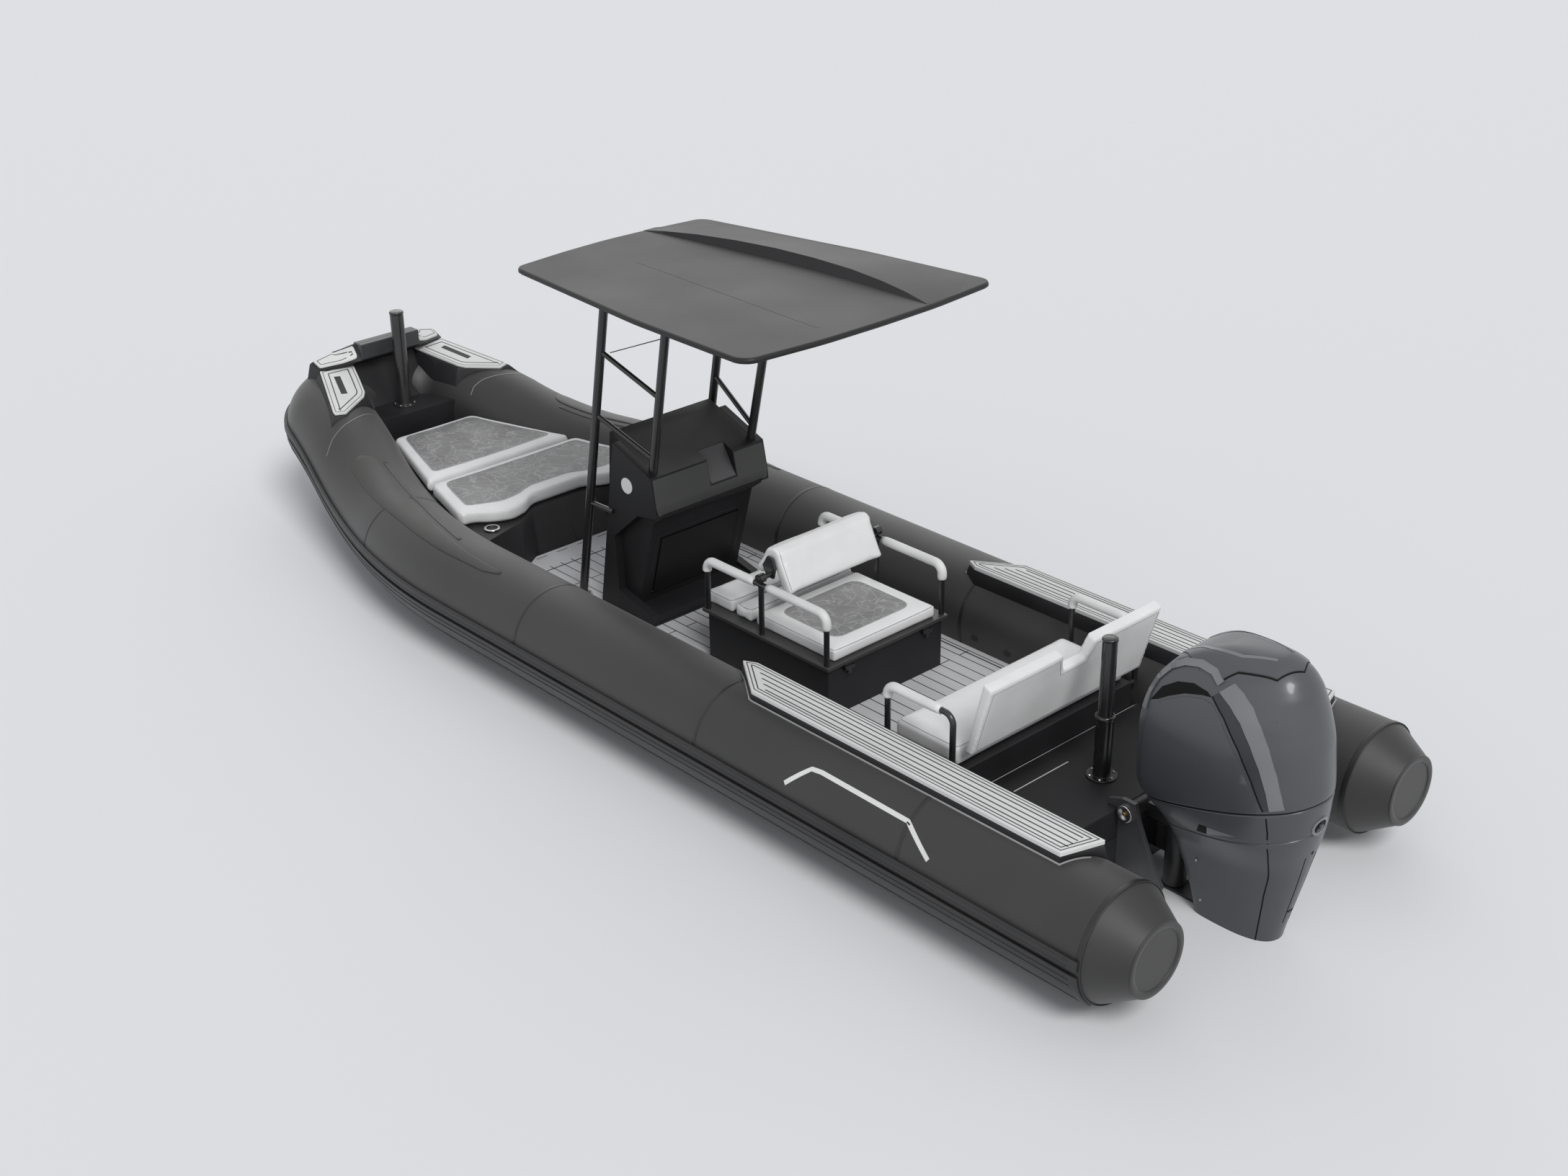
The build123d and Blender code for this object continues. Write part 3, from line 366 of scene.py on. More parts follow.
def tube_line(name, corners, width, material, lift):
    """A narrow line stuck on the tube through corners of (run, angle)."""
    for side, label in SIDES:
        path = []
        for (run_a, up_a), (run_b, up_b) in zip(corners, corners[1:]):
            count = max(2, ceil(abs(run_b - run_a) / 0.04 + abs(up_b - up_a) / 5))
            path += [(run_a + (run_b - run_a) * i / count, up_a + (up_b - up_a) * i / count) for i in range(count)]
        path.append(corners[-1])
        middle = [on_tube(run, up, 0) for run, up in path]
        points = []
        for i, (run, up) in enumerate(path):
            along = (middle[min(i + 1, len(path) - 1)] - middle[max(i - 1, 0)]).normalized()
            outward = (on_tube(run, up, 0.01) - middle[i]).normalized()
            sideways = along.cross(outward) * width / 2
            for p in (middle[i] + sideways - outward * 0.002, middle[i] + sideways + outward * lift,
                      middle[i] - sideways + outward * lift, middle[i] - sideways - outward * 0.002):
                points.append((p.x, p.y * side, p.z))
        add_piece(name + "_" + label, points, strip_faces(len(path)), material, "boat", smooth=False)


tube_line("quarter_stripe", STRIPE, 0.024, stripe_white, 0.0012)
seam_grey = finish_material("seam_grey", 0.16, (0.22, 0.22, 0.21), (0.4, 0.5))
tube_line("bow_seam_arc", [(6.72, 40), (6.80, 57), (6.85, 73.4), (6.90, 93.2), (6.98, 120), (7.00, 134), (6.99, 146)],
          0.007, seam_grey, 0.0012)


def ring(centre, way, across, radius, corners):
    """Points on a circle around a direction; across points at the first of them."""
    other = way.cross(across)
    turns = [2 * pi * k / corners for k in range(corners)]
    return [centre + (across * cos(turn) + other * sin(turn)) * radius for turn in turns]


def turned(name, profile, centre, axis, material, around=96, closed=False):
    """A ring or disc turned around an axis: profile of (distance along, radius)."""
    way = Vector(axis)
    across = way.orthogonal().normalized()
    rows = [ring(Vector(centre) + way * along, way, across, radius, around) for along, radius in profile]
    return stack(name, rows, material, "boat", closed)


FORWARD = (1, 0, 0)
# taped rims where the tube meets its stern cone, and around the cone's end disc
CONE_SEAM = [(0, 0.2945), (0, 0.2985), (0.002, 0.2995), (0.028, 0.2995), (0.030, 0.2985), (0.030, 0.2945)]
CONE_RIM = [(0, 0.150), (0, 0.184), (-0.002, 0.187), (-0.007, 0.187), (-0.009, 0.184), (-0.009, 0.158),
            (-0.004, 0.150)]
for side, label in SIDES:
    turned("cone_seam_" + label, CONE_SEAM, (-3.762, side * TUBE_Y, 0.385), FORWARD, seam_tape,
           closed=True)
    turned("cone_rim_" + label, CONE_RIM, (-3.938, side * TUBE_Y, 0.394), FORWARD, tube_fabric,
           closed=True)


# ---------------- rub strakes
# Moulded rubber fenders in two bands along the tube's outer side, glued on,
# with a dark groove between them.
strake_rubber = finish_material("strake_rubber", (0.016, 0.016, 0.017), 0.028, (0.34, 0.48), blotch=2, grain=600,
                                relief=0.2)
dress("rub_strakes", strake_rubber, 0.004)
RIB_ENDS = (0.05, 7.9)
# the ribs along the strakes: angle above the tube's outboard side, width, height off the fabric
UPPER_RIBS = [(-2.4, 0.004, 0.003), (1.2, 0.004, 0.0215), (7.0, 0.004, 0.0215)]
LOW_RIBS = [(-47, 0.006, 0.0185), (-40, 0.006, 0.0185), (-20, 0.006, 0.0185), (-13, 0.006, 0.0185)]
for prefix, ribs in (("strake_rib", UPPER_RIBS), ("strake_low_rib", LOW_RIBS)):
    for number, (degrees_up, width, lift) in enumerate(ribs):
        tube_line(f"{prefix}_{number}", [(run, degrees_up) for run in RIB_ENDS], width, strake_rubber, lift)


# ---------------- rigid hull
# A deep-V hull moulded in glass fibre with black gel coat, bonded under the tubes.
# The transom is part of the same moulding.
gel_black = finish_material("gel_black", (0.018, 0.018, 0.020), (0.026, 0.026, 0.028), (0.16, 0.24), blotch=1,
                            grain=200, relief=0.05, Coat_Weight=0.4, Coat_Roughness=0.08)
dress("rigid_hull", gel_black, 0.006)


# ---------------- cockpit floor
# Light grey closed-cell foam glued to the sole, brushed along the boat, with its
# black caulking lines routed through in staggered planks and a double border.
DOWN = (0, 0, -1)


def surface_of(*pieces):
    """What lies on these pieces can be dropped on: their final faces as one search tree."""
    graph = bpy.context.evaluated_depsgraph_get()
    points, faces = [], []
    for piece in pieces:
        shown = piece.evaluated_get(graph)
        mesh = shown.to_mesh()
        first = len(points)
        points += [shown.matrix_world @ v.co for v in mesh.vertices]
        faces += [[first + k for k in polygon.vertices] for polygon in mesh.polygons]
        shown.to_mesh_clear()
    return BVHTree.FromPolygons(points, faces)


def drop(tree, point, way):
    """Where a point meets the surface when it is sent along a direction, or None."""
    return tree.ray_cast(Vector(point) - way * 0.25, way, 2.0)[0]


def lay_lines(name, tree, lines, width, material, way=DOWN, lift=0.0008, body="boat", sunk=0.0015, pitch=0.04,
              closed=False):
    """Narrow strips laid on a surface along lines of 3-D corners, sent along a direction."""
    way = Vector(way).normalized()
    points, faces = [], []
    for line in lines:
        corners = [Vector(p) for p in line]
        if closed:
            corners.append(corners[0])
        path = []
        for a, b in zip(corners, corners[1:]):
            count = max(1, ceil((b - a).length / pitch))
            path += [a.lerp(b, i / count) for i in range(count)]
        path.append(corners[-1])
        rows = []
        for i, p in enumerate(path):
            if closed:
                back, on = path[i - 1 if i else -2], path[i + 1 if i < len(path) - 1 else 1]
            else:
                back, on = path[max(i - 1, 0)], path[min(i + 1, len(path) - 1)]
            before, after = (p - back), (on - p)
            before = before.normalized() if before.length > 1e-9 else after.normalized()
            after = after.normalized() if after.length > 1e-9 else before
            along = (before + after).normalized()
            sideways = along.cross(way).normalized() * (width / 2) / max(0.4, along.dot(after))
            left_side, right_side = drop(tree, p + sideways, way), drop(tree, p - sideways, way)
            if left_side and right_side:
                rows.append((left_side + way * sunk, left_side - way * lift, right_side - way * lift,
                             right_side + way * sunk))
            elif rows:
                break
        if len(rows) > 1:
            faces += strip_faces(len(rows), len(points), closed)
            points += [p for row in rows for p in row]
    return add_piece(name, points, faces, material, body, smooth=False)


deck_foam = finish_material("deck_foam", (0.50, 0.50, 0.51), (0.60, 0.60, 0.61), (0.62, 0.76), blotch=5, grain=260,
                            relief=0.35, depth=0.0008, stretch=(0.12, 1, 1))
caulk_black = finish_material("caulk_black", (0.016, 0.016, 0.017), (0.030, 0.030, 0.031), (0.55, 0.70), blotch=8,
                              grain=500)
floor_tree = surface_of(dress("cockpit_floor", deck_foam))
FLOOR_Z, PLANK = 0.285, 0.080
plank_lines = []
for row in range(-9, 10):
    y = PLANK * (row + 0.5)
    plank_lines.append([(-2.44, y, FLOOR_Z), (1.26, y, FLOOR_Z)])
    offset = (row % 2) * 0.45
    for step in range(5):
        x = -2.2 + offset + 0.9 * step
        plank_lines.append([(x, y - PLANK, FLOOR_Z), (x, y, FLOOR_Z)])
lay_lines("floor_caulking", floor_tree, plank_lines, 0.006, caulk_black)
border = [(-2.42, 0.655, FLOOR_Z), (1.22, 0.655, FLOOR_Z), (1.22, -0.655, FLOOR_Z), (-2.42, -0.655, FLOOR_Z)]
lay_lines("floor_border", floor_tree, [border], 0.009, caulk_black, lift=0.0012, closed=True)


# ---------------- deck mouldings
# Textured black gel-coat mouldings: the raised aft deck, the bow locker under the
# cushions, and the raised platform in the bow, all bonded to the floor.
moulding_black = finish_material("moulding_black", (0.011, 0.011, 0.012), (0.018, 0.018, 0.020), (0.42, 0.56),
                                 blotch=2.5, grain=350, relief=0.3, Specular_IOR_Level=0.30)
aft_tree = surface_of(dress("aft_deck", moulding_black, 0.008))
dress("bow_locker", moulding_black, 0.012)
dress("bow_platform", moulding_black, 0.006)
AFT_DECK_Z = 0.411
line_grey = finish_material("line_grey", 0.50, 0.60, (0.5, 0.6), blotch=6)
AFT_LINES = [[(-2.480, 0.70, AFT_DECK_Z), (-2.480, -0.70, AFT_DECK_Z)],
             [(-2.616, 0.43, AFT_DECK_Z), (-2.616, 0.02, AFT_DECK_Z)]]
lay_lines("aft_deck_lines", aft_tree, AFT_LINES, 0.006, line_grey)


# ---------------- bow moulding
# The black moulding that joins the two tubes at the bow, with a raised lip across it.
# White foam plates with routed black lines are glued on its slopes.
bow_moulding = dress("bow_moulding", moulding_black, 0.010)
pad_foam = finish_material("pad_foam", (0.64, 0.64, 0.63), (0.76, 0.76, 0.75), (0.60, 0.74), blotch=6, grain=240,
                           relief=0.35, depth=0.0008, stretch=(0.12, 1, 1))
plate_tree = surface_of(dress("bow_plates", pad_foam, 0.004))
PLATE = [(3.594, 0.491), (3.572, 0.247), (3.399, 0.310), (3.236, 0.374), (3.194, 0.408), (3.080, 0.621),
         (3.103, 0.691), (3.128, 0.689)]


def corners_of(outline):
    """Each corner of a closed outline, between the one before it and the one after it."""
    points = [Vector(p) for p in outline]
    return zip(points[-1:] + points[:-1], points, points[1:] + points[:1])


def shrunk(outline, inset):
    """A closed plan outline moved inwards by inset metres at every side."""
    turn = 1 if sum(b.cross(c) for _, b, c in corners_of(outline)) > 0 else -1
    result = []
    for a, b, c in corners_of(outline):
        u, v = (b - a).normalized(), (c - b).normalized()
        n, m = Vector((-u.y, u.x)) * turn, Vector((-v.y, v.x)) * turn
        corner = (n + m) / max(0.25, 1 + n.dot(m))
        result.append(tuple(b + corner * inset))
    return result


def at_height(outline, z, side=1):
    """A plan outline as 3-D points at a height, mirrored for the starboard side."""
    return [(x, side * y, z) for x, y in outline]


def both_sides(half):
    """A whole outline from its port half, which runs from the bow aft or the other way."""
    return half + [(x, -y) for x, y in reversed(half) if y > 0]


ABOVE_BOW = 1.3         # over everything that lines and patches are dropped on at the bow
PLATE_SLOT = [(3.483, 0.429), (3.277, 0.505)]
for side, label in SIDES:
    for part, line, width, lift, pitch, whole in (("line", shrunk(PLATE, 0.016), 0.004, 0.0008, 0.04, True),
                                                  ("inner_line", shrunk(PLATE, 0.050), 0.007, 0.0008, 0.04, True),
                                                  ("slot", PLATE_SLOT, 0.042, 0.0012, 0.02, False)):
        lay_lines(f"bow_plate_{part}_{label}", plate_tree, [at_height(line, ABOVE_BOW, side)], width, caulk_black,
                  lift=lift, pitch=pitch, closed=whole)


def lay_patch(name, tree, outline, place, way, lift, sunk, material, body="boat", pitch=0.03, round_edge=0):
    """A flat outline cut into a grid and laid on a surface as a raised patch with closed sides.
    place turns an outline point into a 3-D point, which is sent along way until it meets the surface."""
    way = Vector(way).normalized()
    flat = bmesh.new()
    flat.faces.new([flat.verts.new((u, v, 0)) for u, v in outline])
    for axis, normal in enumerate(((1, 0, 0), (0, 1, 0))):
        low, high = min(p[axis] for p in outline), max(p[axis] for p in outline)
        for k in range(1, max(2, ceil((high - low) / pitch))):
            cut = [0, 0, 0]
            cut[axis] = low + pitch * k
            if cut[axis] < high:
                everything = flat.verts[:] + flat.edges[:] + flat.faces[:]
                bmesh.ops.bisect_plane(flat, geom=everything, plane_co=cut, plane_no=normal)
    lost = []
    for vertex in flat.verts:
        hit = drop(tree, place(vertex.co.x, vertex.co.y), way)
        if hit is None:
            lost.append(vertex)
        else:
            vertex.co = hit
    bmesh.ops.delete(flat, geom=lost, context="VERTS")
    made = bmesh.ops.extrude_face_region(flat, geom=flat.faces[:])
    raised = {part for part in made["geom"] if isinstance(part, bmesh.types.BMVert)}
    for vertex in flat.verts:
        vertex.co += way * (-lift if vertex in raised else sunk)
    bmesh.ops.recalc_face_normals(flat, faces=flat.faces)
    mesh = bpy.data.meshes.new(name)
    flat.to_mesh(mesh)
    flat.free()
    mesh.shade_smooth()
    mesh.set_sharp_from_angle(angle=radians(35))
    piece = show(name, mesh, material, body)
    if round_edge:
        round_edges(piece, round_edge, 50)
    return piece


def rounded(outline, radius, steps=5):
    """A closed outline with its corners rounded."""
    result = []
    for a, b, c in corners_of(outline):
        u, v = a - b, c - b
        cut = min(radius, u.length * 0.45, v.length * 0.45)
        start, end = b + u.normalized() * cut, b + v.normalized() * cut
        for k in range(steps + 1):
            t = k / steps
            result.append(tuple(start * (1 - t) ** 2 + b * 2 * t * (1 - t) + end * t ** 2))
    return result


# two more plates on the lip's forward slopes, outboard of the middle box
moulding_tree = surface_of(bow_moulding)
RAMP_PLATE = [(3.612, 0.478), (3.492, 0.250), (3.540, 0.250), (3.668, 0.352), (3.688, 0.482)]
for side, label in SIDES:
    plate = lay_patch("ramp_plate_" + label, moulding_tree, rounded(RAMP_PLATE, 0.012),
                      lambda x, y, s=side: (x, s * y, ABOVE_BOW + 0.1), DOWN, 0.010, 0.004, pad_foam,
                      round_edge=0.003)
    line = at_height(shrunk(RAMP_PLATE, 0.018), ABOVE_BOW + 0.1, side)
    lay_lines("ramp_plate_line_" + label, surface_of(plate), [line], 0.004, caulk_black, closed=True,
              pitch=0.02)

# the dark box set in the middle of the lip
gloss_black = finish_material("gloss_black", (0.012, 0.012, 0.013), (0.020, 0.020, 0.021), (0.14, 0.24), blotch=3,
                              grain=200, relief=0.05, Coat_Weight=0.3, Coat_Roughness=0.06)
nose_charcoal = finish_material("nose_charcoal", (0.040, 0.041, 0.043), (0.058, 0.059, 0.061), (0.30, 0.40),
                                blotch=4, grain=500, relief=0.2)
nose_box = dress("nose_box", nose_charcoal, 0.006)
lay_lines("nose_box_lines", surface_of(nose_box), [[(3.512, 0.225, ABOVE_BOW), (3.512, -0.225, ABOVE_BOW)]], 0.004,
          gloss_black)


# ---------------- bow and tow posts
# Gloss black mooring posts, turned from tube and bolted down through round flanges.
frame_black = finish_material("frame_black", (0.012, 0.012, 0.013), (0.020, 0.020, 0.021), (0.20, 0.32), blotch=5,
                              grain=700, relief=0.1, Coat_Weight=0.3, Coat_Roughness=0.08)
bolt_steel = finish_material("bolt_steel", (0.45, 0.45, 0.46), (0.56, 0.56, 0.57), (0.22, 0.34), blotch=20,
                             grain=900, Metallic=1.0)
dress("bow_post", frame_black, 0.003)
dress("tow_post", frame_black, 0.003)
BOW_POST_X, TOW_POST_X = 3.352, -2.815
UP = (0, 0, 1)
POST_CAP = [(0, 0.047), (0.001, 0.0485), (0.012, 0.0485), (0.016, 0.046), (0.018, 0.040), (0.018, 0.002)]
COLLAR = [(0, 0.039), (0, 0.050), (0.004, 0.052), (0.020, 0.052), (0.026, 0.046), (0.028, 0.039)]
TOW_CAP = [(0, 0.039), (0.001, 0.041), (0.010, 0.041), (0.014, 0.037), (0.015, 0.002)]
turned("bow_post_cap", POST_CAP, (BOW_POST_X, 0, 1.340), UP, gloss_black)
turned("tow_post_collar", COLLAR, (TOW_POST_X, 0, 0.735), UP, gloss_black, closed=True)
turned("tow_post_cap", TOW_CAP, (TOW_POST_X, 0, 1.171), UP, gloss_black)


def bolt_heads(name, places, way, radius, height, body="boat"):
    """Domed hexagon bolt heads standing on a face, as one piece."""
    points, faces = [], []
    way = Vector(way).normalized()
    across = way.orthogonal().normalized()
    for place in places:
        faces += stack_faces(3, 6, first=len(points))
        for along, share in ((-0.001, 1), (height * 0.7, 1), (height, 0.75)):
            points += ring(Vector(place) + way * along, way, across, radius * share, 6)
    add_piece(name, points, faces, bolt_steel, body, smooth=False)


for name, x, z in (("bow_post_bolts", BOW_POST_X, 0.698), ("tow_post_bolts", TOW_POST_X, 0.419)):
    places = [(x + 0.064 * cos(k * pi / 3), 0.064 * sin(k * pi / 3), z) for k in range(6)]
    bolt_heads(name, places, UP, 0.007, 0.006)


# ---------------- bow cushions
# Two sunbathing cushions on the locker, foam covered in white marine vinyl. Each
# has a grey marbled insert let into its top and a sewn seam around the insert.
def vinyl(name, dark, light, veins=0.0):
    """Marine vinyl with a fine leather grain; veins adds a grey marbled print."""
    material = finish_material(name, dark, light, (0.42, 0.54), blotch=5, grain=420, relief=0.30, depth=0.0006)
    if veins:
        tree = material.node_tree
        add = node_adder(tree)
        base = tree.nodes["Principled BSDF"].inputs["Base Color"]
        place = add("ShaderNodeTexCoord").outputs["Object"]
        warp = add("ShaderNodeTexNoise", {"Vector": place, "Scale": 3.5, "Detail": 6})
        mixed = add("ShaderNodeMix", {"Factor": 0.30, 4: place, 5: warp.outputs["Color"]}, data_type="VECTOR")
        crack = add("ShaderNodeTexVoronoi", {"Vector": mixed.outputs[1], "Scale": 17}, feature="DISTANCE_TO_EDGE")
        crack_line = add("ShaderNodeMapRange", {"Value": crack.outputs["Distance"], "From Min": 0.0, "From Max": 0.07,
                                                "To Min": veins, "To Max": 0.0})
        cloud = add("ShaderNodeTexNoise", {"Vector": place, "Scale": 9, "Detail": 5})
        strength = add("ShaderNodeMath", {0: crack_line.outputs["Result"], 1: cloud.outputs["Fac"]},
                       operation="MULTIPLY")
        paint = add("ShaderNodeMix", {"Factor": strength.outputs[0], 6: base.links[0].from_socket,
                                      7: (0.46, 0.46, 0.47, 1)}, data_type="RGBA")
        tree.links.new(paint.outputs[2], base)
    return material


white_vinyl = vinyl("white_vinyl", (0.76, 0.76, 0.755), (0.83, 0.83, 0.825))
marbled_vinyl = vinyl("marbled_vinyl", 0.15, (0.27, 0.27, 0.265), veins=1.0)
seam_thread = finish_material("seam_thread", (0.32, 0.32, 0.33), (0.42, 0.42, 0.43), (0.5, 0.6), blotch=30, grain=900)


def cushion_form(name, outline, place, low, high, inset, edge):
    """A closed form on an outline between two heights, its edges rounded: place(u, v, w) gives the 3-D point."""
    form = bmesh.new()
    inner = shrunk(outline, inset)
    corners = [form.verts.new(place(u, v, w)) for w in (low, high) for u, v in inner]
    *sides, foot, top = stack_faces(2, len(inner))
    for face in (foot, top, *sides):
        form.faces.new([corners[k] for k in face])
    bmesh.ops.recalc_face_normals(form, faces=form.faces)
    sharp = [e for e in form.edges if e.calc_face_angle(0) > radians(20)]
    bmesh.ops.bevel(form, geom=sharp, offset=edge, segments=4, profile=0.6, affect="EDGES")
    mesh = bpy.data.meshes.new(name)
    form.to_mesh(mesh)
    form.free()
    piece = bpy.data.objects.new(name, mesh)
    scene.collection.objects.link(piece)
    return piece


def settle(piece):
    """Applies a piece's modifiers to its mesh."""
    graph = bpy.context.evaluated_depsgraph_get()
    mesh = bpy.data.meshes.new_from_object(piece.evaluated_get(graph), depsgraph=graph)
    piece.modifiers.clear()
    piece.data = mesh


def upholster(piece, node, body, voxel, cap, inside, pressure=4.0):
    """Fills a cushion form with cloth under pressure, and finishes it as padded white vinyl in place of a node.
    cap is the furthest that a point moves; inside is the box, as its lowest and highest corners, that it stays in."""
    remesh = piece.modifiers.new("voxels", "REMESH")
    remesh.mode = "VOXEL"
    remesh.voxel_size = voxel
    piece.modifiers.new("even", "SMOOTH").iterations = 3
    settle(piece)
    rest = [v.co.copy() for v in piece.data.vertices]
    cloth = piece.modifiers.new("cloth", "CLOTH")
    for key, value in (("quality", 4), ("mass", 0.3), ("tension_stiffness", 40), ("compression_stiffness", 40),
                       ("bending_stiffness", 1.0), ("use_pressure", True), ("uniform_pressure_force", pressure)):
        setattr(cloth.settings, key, value)
    cloth.settings.effector_weights.gravity = 0
    cloth.collision_settings.use_collision = False
    cloth.point_cache.frame_end = 20
    for frame_number in range(1, 21):
        scene.frame_set(frame_number)
    settle(piece)
    for vertex, start in zip(piece.data.vertices, rest):
        moved = vertex.co - start
        if moved.length > cap:
            vertex.co = start + moved * (cap / moved.length)
    for vertex in piece.data.vertices:
        for axis, (low, high) in enumerate(zip(*inside)):
            vertex.co[axis] = min(max(vertex.co[axis], low), high)
    piece.modifiers.new("ease", "SMOOTH").iterations = 2
    finer = piece.modifiers.new("finer", "SUBSURF")
    finer.levels = finer.render_levels = 1
    settle(piece)
    piece.data.materials.clear()
    piece.data.materials.append(white_vinyl)
    piece.data.shade_smooth()
    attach(piece, body)
    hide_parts(node)
    return piece


def sew(name, tree, outline, z, width, lift, body="boat"):
    """A sewn seam around a plan outline on the top of a cushion."""
    lay_lines(name, tree, [at_height(outline, z)], width, seam_thread, lift=lift, body=body,
              closed=True, pitch=0.03)


def upright(u, v, w):
    """A cushion outline's point as it is, for cushions that lie flat."""
    return (u, v, w)


LOCKER_Z, CUSHION_Z = 0.530, 0.626
ABOVE_CUSHIONS = 0.75
FORE_CUSHION = both_sides([(3.045, 0.330), (2.223, 0.590)])
FORE_INSERT = both_sides([(2.960, 0.270), (2.320, 0.468)])
AFT_CUSHION = both_sides([(2.217, 0.592), (1.700, 0.738), (1.650, 0.720), (1.645, 0.660), (1.556, 0.560),
                          (1.504, 0.440), (1.528, 0.312), (1.605, 0.200)])
AFT_INSERT = both_sides([(2.120, 0.520), (1.735, 0.628), (1.700, 0.560), (1.640, 0.420), (1.660, 0.300),
                         (1.720, 0.160)])
for label, outline, insert in (("fore", FORE_CUSHION, FORE_INSERT), ("aft", AFT_CUSHION, AFT_INSERT)):
    node = "bow_cushion_" + label
    form = cushion_form(node, rounded(outline, 0.05), upright, LOCKER_Z + 0.002, CUSHION_Z - 0.008, 0.008, 0.020)
    low_corner = (min(p[0] for p in outline), -1, LOCKER_Z + 0.0005)
    high_corner = (max(p[0] for p in outline), 1, CUSHION_Z + 0.008)
    cushion = upholster(form, node, "boat", 0.014, 0.014, (low_corner, high_corner))
    cushion_tree = surface_of(cushion)
    corners = rounded(insert, 0.05)
    lay_patch("bow_cushion_insert_" + label, cushion_tree, corners, lambda x, y: (x, y, ABOVE_CUSHIONS), DOWN, 0.0015,
              0.004, marbled_vinyl, pitch=0.035)
    sew("bow_cushion_seam_" + label, cushion_tree, corners, ABOVE_CUSHIONS, 0.006, 0.003)


# ---------------- cup holders
# Pressed stainless cups dropped into the locker's top beside the cushions.
# Each has a rolled rim and a dark rubber mat in the bottom.
polished_steel = finish_material("polished_steel", (0.55, 0.55, 0.56), (0.66, 0.66, 0.67), (0.14, 0.24), blotch=12,
                                 grain=800, relief=0.05, Metallic=1.0)
dress("cup_holders", polished_steel)
cup_dark = finish_material("cup_dark", 0.012, 0.02, (0.5, 0.6))
CUP_RIM = [(0.004, 0.045), (0.004, 0.0505), (0.009, 0.0505), (0.0125, 0.048), (0.0125, 0.044), (0.010, 0.0405),
           (0.010, 0.0355)]
CUP_MAT = [(0.0008, 0.001), (0.0008, 0.034), (0.0026, 0.0345), (0.003, 0.033), (0.003, 0.001)]
for side, label in SIDES:
    place = (1.515, side * 0.597, LOCKER_Z)
    turned("cup_rim_" + label, CUP_RIM, place, UP, polished_steel, around=64, closed=True)
    turned("cup_mat_" + label, CUP_MAT, place, UP, cup_dark, around=64)


def ellipse(middle_y, middle_z, half_y, half_z, corners=20):
    turns = [2 * pi * k / corners for k in range(corners)]
    return [(middle_y + half_y * cos(turn), middle_z + half_z * sin(turn)) for turn in turns]


# two dark valve holes low in each tube's inner wall
wall_tree = surface_of(nodes["buoyancy_tubes"], nodes["rigid_hull"])
for side, label in SIDES:
    for number, x, z in ((131, -1.319, 0.365), (156, -1.564, 0.357)):
        lay_patch(f"wall_hole_{label}_{number}", wall_tree, ellipse(x, z, 0.026, 0.020),
                  lambda u, v, s=side: (u, 0.3 * s, v), (0, side, 0), 0.0015, 0.004, cup_dark)


# ---------------- side decks
# A moulded black plinth on each tube's quarter, with a raised white foam pad that
# has black caulking lines along it. A light bead seals the plinth's foot to the tube.
dress("side_deck_plinths", moulding_black, 0.006)
pads_tree = surface_of(dress("side_deck_pads", pad_foam, 0.004))
tube_tree = surface_of(nodes["buoyancy_tubes"])
DECK_PLAN = [(-1.115, 0.868), (-1.385, 1.052), (-3.428, 1.060), (-3.500, 0.836), (-1.190, 0.830)]
DECK_Z, ABOVE_DECK = 0.760, 0.95
bead_grey = finish_material("bead_grey", 0.30, (0.38, 0.38, 0.37), (0.4, 0.5))
BEAD = [(-1.094, 0.862), (-1.376, 1.060), (-1.400, 1.063), (-3.434, 1.069), (-3.490, 0.920)]
PLANKS = [(-1.28 - 0.050 * k, 0.896 + 0.034 * k) for k in range(4)]     # fore end, distance from the middle
for side, label in SIDES:
    for part, inset, width in (("border", 0.016, 0.005), ("inner_border", 0.036, 0.006)):
        lay_lines(f"side_deck_{part}_{label}", pads_tree, [at_height(shrunk(DECK_PLAN, inset), DECK_Z, side)], width,
                  caulk_black, closed=True)
    planks = [at_height([(start, y), (-3.42, y)], DECK_Z, side) for start, y in PLANKS]
    lay_lines("side_deck_caulking_" + label, pads_tree, planks, 0.007, caulk_black)
    lay_lines("side_deck_bead_" + label, tube_tree, [at_height(BEAD, ABOVE_DECK, side)], 0.007, bead_grey,
              lift=0.004)


# ---------------- console
# A one-piece steering console moulded in textured black gel coat. Its side wings stand
# proud of the block, and a fascia folds across under the dash, around a recess. The fascia and the
# recess's floor take paler copies of the gel coat as painted light, where they face aft and up.
console_tree = surface_of(dress("console", moulding_black, 0.009))
# the same textured gel coat in a paler grey: painted light on the fascia, which faces aft and up to the light
fascia_painted_light = finish_material("fascia_painted_light", 0.066, (0.082, 0.082, 0.081), (0.40, 0.52), blotch=2.5, grain=350,
                              relief=0.3, Specular_IOR_Level=0.35)
# a still paler copy of the same gel coat for the recess's floor: painted light where the floor faces up and aft to
# the light
recess_painted_light = finish_material("recess_painted_light", (0.110, 0.109, 0.111), (0.130, 0.129, 0.131), (0.40, 0.52),
                              blotch=2.5, grain=350, relief=0.3, Specular_IOR_Level=0.35)
dress("dash_recess_panel", recess_painted_light, 0.0015)
gloss_white = finish_material("gloss_white", (0.78, 0.78, 0.77), (0.84, 0.84, 0.83), (0.16, 0.24), blotch=6,
                              grain=200, relief=0.04)
dress("console_discs", gloss_white, 0.0015)
door_black = finish_material("door_black", (0.009, 0.009, 0.010), (0.015, 0.015, 0.016), (0.34, 0.46), blotch=2.5,
                             grain=350, relief=0.25, Specular_IOR_Level=0.30)
dress("console_door", door_black, 0.003)
RECESS_GAP = [(0.013, 1.222), (0.013, 1.078), (-0.193, 1.078), (-0.193, 1.222)]
